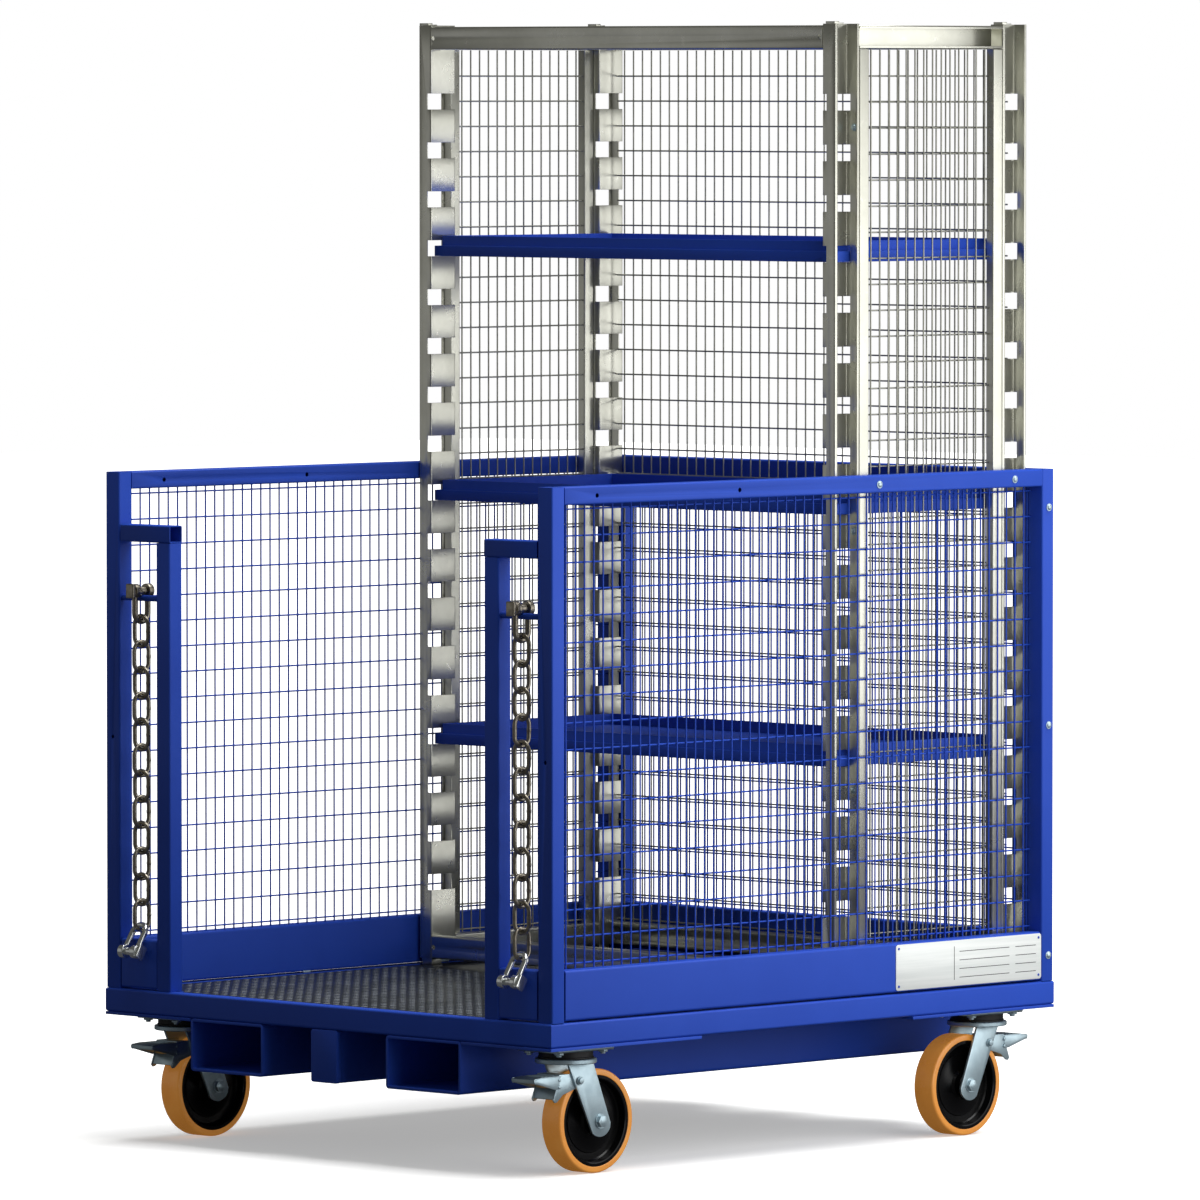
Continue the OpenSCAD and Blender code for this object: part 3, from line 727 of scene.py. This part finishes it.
@dataclass
class Guards:
    """Side and back panels and the entry wings: frames, kick plates and welded mesh.

    Attributes:
        post_top: Height of the corner posts.
        corner_x: Middle of a corner post from the middle of the base.
        post_y: Middles of the front and rear corner posts.
    """

    post_top: float = 1316.0
    corner_x: float = 595.5
    post_y: tuple[float, float] = (20.0, 1405.0)

    def build(self) -> None:
        """Build the frames, kick plates, mesh and plugs."""
        for node in ("left_panel_frame", "right_panel_frame", "back_panel_frame", "left_wing_frame",
                     "right_wing_frame"):
            hand_over(soften(copy_of(node), 0.9), POWDER, "cage", node)
        for node in ("side_kick_plates", "back_kick_plate", "wing_kick_plates"):
            hand_over(soften(copy_of(node), 1.0), POWDER, "cage", node)
        for node in ("left_panel_mesh", "right_panel_mesh", "back_panel_mesh"):
            hand_over(soften(copy_of(node, dissolve=False), 0.3, 1), POWDER, "cage", node)
        hand_over(soften(copy_of("chain_bars"), 0.6), POWDER, "cage", "chain_bars")
        self._plugs()

    def _plugs(self) -> None:
        """Close the tops of the corner posts with welded plugs."""
        plugs = []
        for y in self.post_y:
            low = at(self.corner_x - 16.5, y - 14, self.post_top - 3)
            high = at(self.corner_x + 16.5, y + 14, self.post_top - 0.4)
            plugs.append(soften(block("post_plugs", low, high), 0.8))
        plugs += [twin for plug in list(plugs) for twin in stamp(plug, [Matrix.Diagonal((-1, 1, 1, 1))])[1:]]
        hand_over(join("post_plugs", plugs), POWDER, "cage")


# ---------------------------------------------------------------- chains


@dataclass
class Chains:
    """Two chains, each with an upper shackle, twelve links and an end shackle.

    Attributes:
        x: Distance of a chain from the middle.
        y: Distance of a chain from the front edge of the base.
        wire: Wire diameter of a link.
        width: Outside width of a link.
        pitch: Distance between links.
        first_top: Wire centre at the top of the first link.
        bow_wire: Wire diameter of a shackle.
        bow_width: Distance between a shackle's legs.
    """

    x: float = 524.0
    y: float = 13.0
    wire: float = 8.5
    width: float = 47.0
    pitch: float = 50.8
    first_top: float = 1034.85
    bow_wire: float = 12.0
    bow_width: float = 34.0

    def build(self) -> None:
        """Build both chains."""
        link = self._link()
        shackle = self._shackle(60.0)
        for side, word in ((LEFT, "left"), (RIGHT, "right")):
            self._run(link, side, word + "_upper_links", 1, 7, word + "_upper_chain")
            self._run(link, side, word + "_lower_links", 8, 12, word + "_lower_chain")
            top = Matrix.Translation(at(side * self.x, self.y, 1024.3)) @ Matrix.Rotation(-math.pi / 2, 4, "Z")
            piece = stamp(shackle, [top])[1]
            piece.name = word + "_top_shackle_dressed"
            hand_over(piece, CHAIN, word + "_upper_chain", word + "_top_shackle")
            tilt = Matrix.Rotation(math.radians(-32 + 180), 4, "X")
            piece = stamp(shackle, [Matrix.Translation(at(side * self.x, self.y, 427.0)) @ tilt])[1]
            piece.name = word + "_end_shackle_dressed"
            hand_over(piece, FORGED, word + "_chain_end", word + "_end_shackle")
        for pattern in (link, shackle):
            bpy.data.objects.remove(pattern)

    def _link(self) -> bpy.types.Object:
        """Return one link in the XZ plane, its top wire centre at the origin, with its weld."""
        major = (self.width - self.wire) / 2
        straight = self.pitch + self.wire + 0.3 - 2 * major
        clear_selection()
        bpy.ops.mesh.primitive_torus_add(
            major_segments=40, minor_segments=18, major_radius=major * MM, minor_radius=self.wire / 2 * MM,
            rotation=Axis.Y.value,
        )
        ring = settle(bpy.context.active_object)
        choose(ring, lambda place: place.z < -1e-6)
        bpy.ops.transform.translate(value=(0, 0, -straight * MM))
        bpy.ops.object.mode_set(mode="OBJECT")
        half = self.wire / 2
        weld = turned("weld", [(half - 1, -4.2), (half, -4.0), (half + 0.5, -1.8), (half + 0.6, 0), (half + 0.5, 1.8),
                               (half, 4.0), (half - 1, 4.2)], Vector((major, 0, -straight / 2)) * MM, Axis.Z, 18)
        link = join("link", [ring, weld])
        link.data.transform(Matrix.Translation((0, 0, -major * MM)))
        return shade(link, 60)

    def _run(self, link: bpy.types.Object, side: int, node: str, first: int, last: int, body: str) -> None:
        """Hang a run of links and hand it over.

        Args:
            link: The link modelled once.
            side: LEFT or RIGHT.
            node: CAD node that the run stands for.
            first: Number of its first link.
            last: Number of its last link.
            body: CAD body that it moves with.
        """
        places = []
        for k in range(first, last + 1):
            top = at(side * self.x, self.y, self.first_top - (k - 1) * self.pitch)
            places.append(Matrix.Translation(top) @ Matrix.Rotation(0 if k % 2 else math.pi / 2, 4, "Z"))
        hand_over(join(node + "_dressed", stamp(link, places)[1:]), CHAIN, body, node)

    def _shackle(self, rise: float) -> bpy.types.Object:
        """Return a bow shackle, its bow's wire centre at the origin and its pin above it.

        Args:
            rise: Distance from the bow to the pin in millimetres.

        Returns:
            The shackle, in the XZ plane.
        """
        radius = self.bow_width / 2
        clear_selection()
        bpy.ops.mesh.primitive_circle_add(vertices=20, radius=self.bow_wire / 2 * MM, location=(radius * MM, 0, 0))
        bow = settle(bpy.context.active_object)
        bpy.ops.object.mode_set(mode="EDIT")
        bpy.ops.mesh.select_all(action="SELECT")
        bpy.ops.mesh.spin(steps=24, angle=math.pi, center=(0, 0, 0), axis=(0, -1, 0))
        bpy.ops.object.mode_set(mode="OBJECT")
        choose(bow, lambda place: abs(place.z) < 1e-6)
        bpy.ops.mesh.extrude_region_move(TRANSFORM_OT_translate={"value": (0, 0, (rise - radius) * MM)})
        bpy.ops.mesh.select_all(action="SELECT")
        bpy.ops.mesh.fill_holes(sides=0)
        bpy.ops.object.mode_set(mode="OBJECT")
        face_out(bow)
        bow.data.transform(Matrix.Translation((0, 0, radius * MM)))
        parts = [bow]
        for side in (LEFT, RIGHT):
            place = Vector((side * radius, 0, rise)) * MM
            parts.append(soften(drum("eye", place, 13.8, 13.6, Axis.X), 1.6, 3))
        parts.append(soften(drum("pin", Vector((-2.5, 0, rise)) * MM, 8.0, self.bow_width + 16, Axis.X), 1.0))
        head = block("head", Vector((radius + 6.5, -11.0, rise - 14.4)) * MM,
                     Vector((radius + 15.5, 11.0, rise + 14.4)) * MM)
        parts.append(soften(head, 2.6, 3))
        return shade(join("shackle", parts), 40)


# ---------------------------------------------------------------- goods cage


@dataclass
class GoodsCage:
    """Slotted posts, rails, mesh panels and caps of the goods cage, and its shelves."""

    shelves: tuple[str, ...] = ("top_shelf", "middle_shelf", "bottom_shelf")
    strip: tuple[str, ...] = ("front_posts", "rear_posts", "goods_top_rails", "goods_bottom_rails",
                              "goods_side_frames", "post_caps")
    wire: tuple[str, ...] = ("goods_left_mesh", "goods_right_mesh", "goods_back_mesh")

    def build(self) -> None:
        """Build the cage and its shelves."""
        for node in self.strip:
            hand_over(soften(copy_of(node), 0.45), GALVANISED, "cage", node)
        for node in self.wire:
            hand_over(soften(copy_of(node, dissolve=False), 0.3, 1), WIRE, "cage", node)
        for node in self.shelves:
            hand_over(soften(copy_of(node), 0.7), POWDER, node, node)


# ---------------------------------------------------------------- castors


@dataclass
class Castor:
    """One braked swivel castor, built at the front right and copied to the other corners.

    Attributes:
        x: Swivel axis from the middle.
        y: Swivel axis from the front edge.
        trail: Axle behind the swivel axis.
        axle_z: Height of the axle.
        crown_top: Height of the top of the crown.
        leg: Inner face and thickness of a fork leg.
        pivot_z: Height of the brake's two stub bolts.
        cheek_x: Inner face of a brake cheek.
        fold_x: Inner face of the fold along each side of the brake's tread.
    """

    x: float = 526.5
    y: float = 130.0
    trail: float = 58.0
    axle_z: float = 100.0
    crown_top: float = 223.0
    leg: tuple[float, float] = (31.0, 5.0)
    pivot_z: float = 181.0
    cheek_x: float = 26.5
    fold_x: float = 28.0
    base_depth: float = 1425.0
    made: dict[str, bpy.types.Object] = field(default_factory=dict)

    def build(self) -> None:
        """Build one castor and place it at the four corners."""
        self.made = {
            "fork": self._fork(), "core": self._core(), "tyre": self._tyre(), "pedal": self._pedal(),
            "plate": self._plate(), "seal": self._seal(), "bolts": self._plate_bolts(),
        }
        finishes = {"fork": PLATED, "core": NYLON, "tyre": URETHANE, "pedal": PLATED}
        bodies = {"fork": "castor", "core": "wheel", "tyre": "wheel", "pedal": "brake"}
        fixed: dict[str, list[bpy.types.Object]] = {"plate": [], "seal": [], "bolts": []}
        for end in ("front", "rear"):
            for side in (LEFT, RIGHT):
                corner = f"{end}_{'left' if side == LEFT else 'right'}"
                place = self._corner(end, side)
                for part, finish in finishes.items():
                    piece = stamp(self.made[part], [place])[1]
                    piece.name = f"{corner}_{part}_dressed"
                    hand_over(piece, finish, f"{corner}_{bodies[part]}", f"{corner}_{part}")
                for part, copies in fixed.items():
                    copies.append(stamp(self.made[part], [place])[1])
        hand_over(join("castor_top_plates_dressed", fixed["plate"]), PLATED, "cage", "castor_top_plates")
        hand_over(join("swivel_seals", fixed["seal"]), RUBBER, "cage")
        hand_over(join("castor_plate_bolts", fixed["bolts"]), PLATED, "cage")
        for pattern in self.made.values():
            bpy.data.objects.remove(pattern)

    def _corner(self, end: str, side: int) -> Matrix:
        """Return the move that takes the front right castor to a corner."""
        axis_place = at(self.x, self.y, 0)
        y = self.y if end == "front" else self.base_depth - self.y
        turn = Matrix.Rotation(0 if end == "front" else math.pi, 4, "Z")
        return Matrix.Translation(at(side * self.x, y, 0)) @ turn @ Matrix.Translation(-axis_place)

    def _spot(self, x: float, y: float, z: float) -> Vector:
        """Return a point measured from the swivel axis at floor level, in metres."""
        return at(self.x + x, self.y + y, z)

    def _outline_plane(self, x: float) -> Matrix:
        """Return the plane of side plates at a distance from the swivel axis."""
        return side_plane(self.x + x, self.y, 0)

    def _leg(self, side: int) -> bpy.types.Object:
        """Return one fork leg: a tapered pressing, bowed along its front half, rounded at the axle.

        Args:
            side: LEFT or RIGHT.

        Returns:
            The leg.
        """
        inner, thick = self.leg
        top = self.crown_top - 8.5
        low = [(self.trail + 30 * math.sin(math.radians(a)), self.axle_z - 30 * math.cos(math.radians(a)))
               for a in range(-42, 70, 8)]
        points = [(-27.0, top), (38.5, top)] + [(self.trail + 27.5, self.axle_z - 4)] + list(reversed(low))
        leg = pressed("leg", points, self._outline_plane(inner if side == RIGHT else -inner - thick), thick)
        pick(leg)
        bpy.ops.object.mode_set(mode="EDIT")
        for step in range(5):
            bpy.ops.mesh.select_all(action="SELECT")
            cut = self._spot(0, -20 + step * 9, top)
            bpy.ops.mesh.bisect(plane_co=cut, plane_no=(0.0, 0.94, 0.34))
        bpy.ops.object.mode_set(mode="OBJECT")
        hinge = self._spot(0, 20, top)
        for vertex in leg.data.vertices:
            ahead = (hinge - vertex.co).dot(Vector((0.0, 0.94, 0.34))) / MM
            if ahead > 0:
                vertex.co.x -= side * MM * min(2.4, ahead * ahead / 640.0)
        return soften(leg, 0.9, 2, 30)

    def _hexagon(self, centre: Vector, across: float, height: float) -> bpy.types.Object:
        """Return a chamfered hexagon along X, given its middle and its size in millimetres."""
        return soften(drum("hex", centre, across / 2 / math.cos(math.pi / 6), height, Axis.X, sides=6), 1.0, 2)

    def _fork(self) -> bpy.types.Object:
        """Return the crown, legs, axle bolt and brake bolt ends as one pressing."""
        top = self.crown_top
        crown = turned("crown", [(11.2, top - 9), (57.5, top - 9), (59.4, top - 7.4), (59.4, top - 1.4), (58.2, top),
                                 (50, top), (48, top - 1.2), (30, top - 1.2), (28, top), (11.2, top)],
                       self._spot(0, 0, 0), Axis.Z, 72)
        parts = [shade(crown, 30), self._leg(LEFT), self._leg(RIGHT)]
        inner, thick = self.leg
        outer = inner + thick
        axle = self._spot(0, self.trail, self.axle_z)
        parts.append(drum("axle", axle, 9.9, 2 * outer, Axis.X))
        for side in (LEFT, RIGHT):
            step = Vector((side, 0, 0)) * MM
            parts.append(soften(drum("washer", axle + step * (outer + 0.9), 14.5, 1.6, Axis.X), 0.4, 1))
            parts.append(self._hexagon(axle + step * (outer + 4.6), 21, 6.0))
            parts.append(soften(drum("bolt end", axle + step * (outer + 4.6), 6.5, 7.0, Axis.X, 24), 0.8, 2))
            brake = self._spot(0, 2, self.pivot_z)
            parts.append(soften(drum("collar", brake + step * (outer + 0.4), 8.5, 1.4, Axis.X), 0.4, 1))
            parts.append(soften(drum("bolt head", brake + step * (outer + 3.0), 6.0, 5.0, Axis.X, 24), 1.2, 3))
            parts.append(drum("stub", brake + step * (inner - 2.2), 4.0, 5.0, Axis.X, 24))
        return join("fork", parts)

    def _core(self) -> bpy.types.Object:
        """Return the dished wheel core, with a stepped web and a hub."""
        side = [(87.9, 24.0), (82.0, 24.0), (80.0, 23.0), (77.5, 9.5), (75.0, 7.0), (63.0, 6.6), (61.5, 8.4),
                (58.0, 8.4), (40.0, 9.6), (30.0, 12.5), (26.0, 17.0), (24.5, 29.0), (23.5, 30.0), (10.1, 30.0)]
        profile = side + [(radius, -along) for radius, along in reversed(side)]
        core = turned("core", profile, self._spot(0, self.trail, self.axle_z), Axis.X, 96)
        return shade(core, 24)

    def _tyre(self) -> bpy.types.Object:
        """Return the tyre, with rounded shoulders and a thin flash line beside the core."""
        arc = [(96.0 + 4 * math.sin(math.radians(a)), 21.0 + 4 * math.cos(math.radians(a))) for a in range(0, 91, 15)]
        side = [(88.0, 24.4), (89.0, 25.0)] + arc
        profile = side + [(radius, -along) for radius, along in reversed(side)]
        tyre = turned("tyre", profile, self._spot(0, self.trail, self.axle_z), Axis.X, 120)
        return shade(tyre, 30)

    def _pedal(self) -> bpy.types.Object:
        """Return the brake: cheeks, tread with its folded sides, shoe and rivets."""
        y0, z0 = 2.0, self.pivot_z
        cheek = [(-66, -34), (-62, -39), (-56, -38), (-40, -25), (9, -11), (12, -6), (12, 8), (8, 14), (-50, 14),
                 (-56, -8)]
        cheek = [(y + y0, z + z0) for y, z in cheek]
        flange = [(-119, 5), (-117, 0), (-112, 0), (-62, -14), (-50, -14), (-50, 10), (-117, 10)]
        flange = [(y + y0, z + z0) for y, z in flange]
        parts = []
        for side in (LEFT, RIGHT):
            cheek_x, fold_x = self.cheek_x, self.fold_x
            if side == LEFT:
                cheek_x, fold_x = -cheek_x - 3, -fold_x - 2.5
            parts.append(soften(pressed("cheek", cheek, self._outline_plane(cheek_x), 3), 0.6))
            parts.append(soften(pressed("fold", flange, self._outline_plane(fold_x), 2.5), 0.6))
            for z in (4, -10):
                rivet = drum("rivet", self._spot(side * 30.2, -50 + y0, z + z0), 3.4, 3.0, Axis.X, 20)
                parts.append(soften(rivet, 1.0, 3))
        tread = block("tread", self._spot(-30.5, -119 + y0, z0 + 9), self._spot(30.5, -46 + y0, z0 + 11.6))
        pick(tread)
        bpy.ops.object.mode_set(mode="EDIT")
        for y in (-108, -96):
            bpy.ops.mesh.select_all(action="SELECT")
            bpy.ops.mesh.bisect(plane_co=self._spot(0, y + y0, z0), plane_no=(0, 1, 0))
        bpy.ops.object.mode_set(mode="OBJECT")
        for vertex in tread.data.vertices:
            ahead = (self._spot(0, -96 + y0, 0).y - vertex.co.y) / MM
            vertex.co.z -= 0.0 if ahead <= 0 else ahead * ahead / 150.0 * MM
        parts.append(soften(tread, 0.9))
        for y in (-88, -78, -68, -58):
            rib = block("rib", self._spot(-21, y + y0, z0 + 11.2), self._spot(21, y + 3 + y0, z0 + 12.6))
            parts.append(soften(rib, 0.6))
        lip = block("lip", self._spot(-28, -118 + y0, z0 + 0.5), self._spot(28, -115 + y0, z0 + 8))
        parts.append(soften(lip, 0.8))
        bridge = block("bridge", self._spot(-27, -50 + y0, z0 + 10), self._spot(27, -20 + y0, z0 + 13.4))
        parts.append(soften(bridge, 0.8))
        shoe = block("shoe", Vector((-27, -2, -11)) * MM, Vector((27, 2, 11)) * MM)
        tilt = Matrix.Rotation(math.radians(-20), 4, "X")
        shoe.data.transform(Matrix.Translation(self._spot(0, -58 + y0, z0 - 23)) @ tilt)
        parts.append(soften(shoe, 1.0))
        return join("pedal", parts)

    def _plate(self) -> bpy.types.Object:
        """Return the top plate, with a ring inset on its underside, and its stud."""
        plate = soften(block("plate", self._spot(-55, -76, 241), self._spot(55, 76, 246.8)), 1.0, 2)
        choose(plate, lambda place: place.z < self._spot(0, 0, 242).z, "FACE")
        bpy.ops.mesh.inset(thickness=4 * MM, depth=0.0)
        bpy.ops.object.mode_set(mode="OBJECT")
        profile = [(0, 209.5), (9.6, 209.5), (11, 211), (11, 235), (0, 235)]
        stud = turned("stud", profile, self._spot(0, 0, 0), Axis.Z, 40)
        return join("plate", [plate, shade(stud, 30)])

    def _seal(self) -> bpy.types.Object:
        """Return the black seal between top plate and crown, with a lip at its foot."""
        profile = [(14, 223.4), (52.8, 223.4), (53.5, 224.2), (53.5, 226.2), (52.2, 227.4), (52.2, 240.9),
                   (14, 240.9)]
        return shade(turned("seal", profile, self._spot(0, 0, 0), Axis.Z, 72), 30)

    def _plate_bolts(self) -> bpy.types.Object:
        """Return the four nuts and bolt ends under the top plate."""
        nuts = []
        for x in (-40, 40):
            for y in (-60, 60):
                nut = drum("nut", self._spot(x, y, 237.2), 9.8, 7.0, Axis.Z, sides=6)
                nuts.append(soften(nut, 1.0, 2))
                nuts.append(soften(drum("end", self._spot(x, y, 233.5), 5.0, 7.0, Axis.Z, 24), 0.8, 2))
        return join("nuts", nuts)


# ---------------------------------------------------------------- fixings


@dataclass
class Fixings:
    """Frame bolts and the blank nameplate with its rivets.

    Attributes:
        face: Outer face of the panels.
        rail_y: Bolts along the top rails.
        rail_z: Their height.
        post_z: Heights of the bolts in the rear posts.
        post_y: Their distance from the front.
        flange_x: Bolts in the flanges of the goods posts, from the middle.
        flange_y: Faces of the front and rear posts' flanges that they sit on.
        flange_z: Their heights.
        plate: Low front corner of the nameplate's outer face.
    """

    face: float = 615.0
    rail_y: tuple[float, ...] = (913.0, 1306.0)
    rail_z: float = 1298.0
    post_z: tuple[float, ...] = (351.0, 808.0, 1240.0)
    post_y: float = 1407.0
    flange_x: float = 561.0
    flange_y: tuple[float, float] = (898.4, 1318.5)
    flange_z: tuple[float, ...] = (700.0, 1206.0, 1993.0)
    plate: tuple[float, float, float] = (615.35, 962.0, 306.0)

    def build(self) -> None:
        """Build the bolts and the nameplate."""
        pattern = self._bolt()
        spots = [(self.face, y, self.rail_z) for y in self.rail_y]
        spots += [(self.face, self.post_y, z) for z in self.post_z]
        big = [Matrix.Translation(at(*spot)) for spot in spots]
        small = []
        for y, turn in zip(self.flange_y, (-90, 90)):
            face = Matrix.Rotation(math.radians(turn), 4, "Z")
            small += [Matrix.Translation(at(self.flange_x, y, z)) @ face for z in self.flange_z]
        mirror = Matrix.Diagonal((-1, 1, 1, 1))
        copies = stamp(pattern, big + small + [mirror @ place for place in big + small], keep=False)
        hand_over(join("frame_bolts_dressed", copies), PLATED, "cage", "frame_bolts")
        self._nameplate()

    def _bolt(self) -> bpy.types.Object:
        """Return a round-headed bolt with its washer, pointing along X from the origin."""
        dome = [(5.6 * math.cos(math.radians(a)), 1.6 + 3.4 * math.sin(math.radians(a))) for a in range(0, 91, 15)]
        profile = [(0, 0.15), (7.4, 0.15), (7.6, 0.5), (7.4, 1.4), (5.6, 1.6)] + dome[1:-1] + [(0, 5.0)]
        return shade(turned("bolt", profile, Vector((0, 0, 0)), Axis.X, 28), 30)

    def _nameplate(self) -> None:
        """Build the blank plate: rounded sheet, a divider, blank raised lines and four rivets."""
        plate = soften(copy_of("nameplate"), 0.3)
        marks = []
        x, y0, z0 = self.plate
        marks.append(block("divider", at(x, y0 + 168, z0 + 12), at(x + 0.35, y0 + 169.4, z0 + 78)))
        for row in range(4):
            z = z0 + 16 + row * 17
            marks.append(block("rule", at(x, y0 + 184, z), at(x + 0.35, y0 + 330, z + 1.2)))
            marks.append(block("rule", at(x, y0 + 348, z), at(x + 0.35, y0 + 408, z + 1.2)))
        hand_over(plate, PLATE, "cage", "nameplate")
        hand_over(join("nameplate_rules", marks), RUBBER, "cage")
        rivets = []
        for y in (y0 + 8, y0 + 416):
            for z in (z0 + 8, z0 + 82):
                rivets.append(soften(drum("rivet", at(x + 0.4, y, z), 2.6, 1.0, Axis.X, 20), 0.4, 2))
        hand_over(join("nameplate_rivets", rivets), POWDER, "cage")


# ---------------------------------------------------------------- studio


@dataclass
class Studio:
    """Pale floor, soft lights and a long lens.

    Attributes:
        eye: Place of the camera in millimetres from the middle, the front edge and the floor.
        azimuth: Degrees that the view is turned to the left of straight on.
        elevation: Degrees that it looks down.
        lens: Focal length in millimetres on a 36 mm wide sensor.
    """

    eye: tuple[float, float, float] = (15143.7, -14807.8, 2085.9)
    azimuth: float = 44.2
    elevation: float = 2.71
    lens: float = 329.9

    def build(self) -> None:
        """Build the floor, the lights, the surroundings and the camera."""
        self._floor()
        self._surroundings()
        self._sun("overhead", (0.15, 0.25, 1.0), 3.5, 50.0)
        self._light("side_panel", (3.0, 1.9, 1.3), (0.0, 1.9, 1.3), (6.4, 3.6), 130.0)
        self._light("front_card", (-4.2, -4.6, 1.2), (0.0, 0.0, 1.0), (5.0, 4.0), 15.0)
        self._camera()
        bpy.context.scene.view_settings.view_transform = "Standard"

    def _floor(self) -> None:
        """Lay a large pale floor, lit a little from within, that throws back less light than it shows."""
        clear_selection()
        bpy.ops.mesh.primitive_plane_add(size=60.0, location=(0, 0, -0.0005))
        floor = bpy.context.active_object
        floor.name = "studio_floor"
        settle(floor)
        material = bpy.data.materials.new("studio_paper")
        material.use_nodes = True
        tree = material.node_tree
        tree.nodes.clear()
        seen = add_node(tree, "ShaderNodeLightPath").outputs["Is Camera Ray"]
        dim = add_node(tree, "ShaderNodeBsdfDiffuse", {"Color": linear("4E4E50")}).outputs["BSDF"]
        pale = add_node(tree, "ShaderNodeBsdfDiffuse", {"Color": linear("F8F8F7")}).outputs["BSDF"]
        lift = add_node(tree, "ShaderNodeEmission", {"Color": linear("FFFFFF"), "Strength": 0.38}).outputs["Emission"]
        lit = add_node(tree, "ShaderNodeAddShader", {0: pale, 1: lift}).outputs["Shader"]
        both = add_node(tree, "ShaderNodeMixShader", {0: seen, 1: dim, 2: lit}).outputs["Shader"]
        add_node(tree, "ShaderNodeOutputMaterial", {"Surface": both})
        floor.data.materials.append(material)

    def _surroundings(self) -> None:
        """Put a white wall behind the scene, and light the scene from a darker room."""
        world = bpy.data.worlds.new("studio")
        bpy.context.scene.world = world
        world.use_nodes = True
        tree = world.node_tree
        tree.nodes.clear()
        seen = add_node(tree, "ShaderNodeLightPath").outputs["Is Camera Ray"]
        kind = "ShaderNodeBackground"
        room = add_node(tree, kind, {"Color": linear("F2F2EA"), "Strength": 0.10}).outputs["Background"]
        wall = add_node(tree, kind, {"Color": linear("FFFFFF"), "Strength": 1.0}).outputs["Background"]
        both = add_node(tree, "ShaderNodeMixShader", {0: seen, 1: room, 2: wall}).outputs["Shader"]
        add_node(tree, "ShaderNodeOutputWorld", {"Surface": both})

    def _light(self, name: str, place: tuple, target: tuple, size: tuple[float, float], power: float) -> None:
        """Add one soft panel light.

        Args:
            name: Its name.
            place: Where it stands, in metres.
            target: What it faces, in metres.
            size: Its width and height in metres.
            power: Its power in watts.
        """
        clear_selection()
        bpy.ops.object.light_add(type="AREA", location=place)
        light = bpy.context.active_object
        light.name = name
        light.data.shape = "RECTANGLE"
        light.data.size, light.data.size_y = size
        light.data.energy = power
        light.rotation_euler = (Vector(target) - Vector(place)).to_track_quat("-Z", "Y").to_euler()

    def _sun(self, name: str, towards: tuple[float, float, float], strength: float, spread: float) -> None:
        """Add one wide, even light from far off.

        Args:
            name: Its name.
            towards: The direction it comes from.
            strength: Its strength.
            spread: How wide it is, in degrees.
        """
        clear_selection()
        bpy.ops.object.light_add(type="SUN", location=Vector(towards) * 8)
        light = bpy.context.active_object
        light.name = name
        light.data.energy = strength
        light.data.angle = math.radians(spread)
        light.rotation_euler = (-Vector(towards)).to_track_quat("-Z", "Y").to_euler()

    def _camera(self) -> None:
        """Add the camera and make it the scene's."""
        turn, dip = math.radians(self.azimuth), math.radians(self.elevation)
        ahead = Vector((-math.sin(turn) * math.cos(dip), math.cos(turn) * math.cos(dip), -math.sin(dip)))
        clear_selection()
        bpy.ops.object.camera_add(location=at(*self.eye), rotation=ahead.to_track_quat("-Z", "Y").to_euler())
        camera = bpy.context.active_object
        camera.name = "studio_camera"
        camera.data.lens = self.lens
        camera.data.sensor_width = 36.0
        camera.data.clip_end = 100.0
        bpy.context.scene.camera = camera


def main() -> None:
    """Build the picking cage and its studio."""
    logging.basicConfig(level=logging.INFO, format="%(message)s")
    for part in (Base(), Guards(), Chains(), GoodsCage(), Castor(), Fixings(), Studio()):
        part.build()
    clear_selection()


if __name__ == "__main__":
    main()
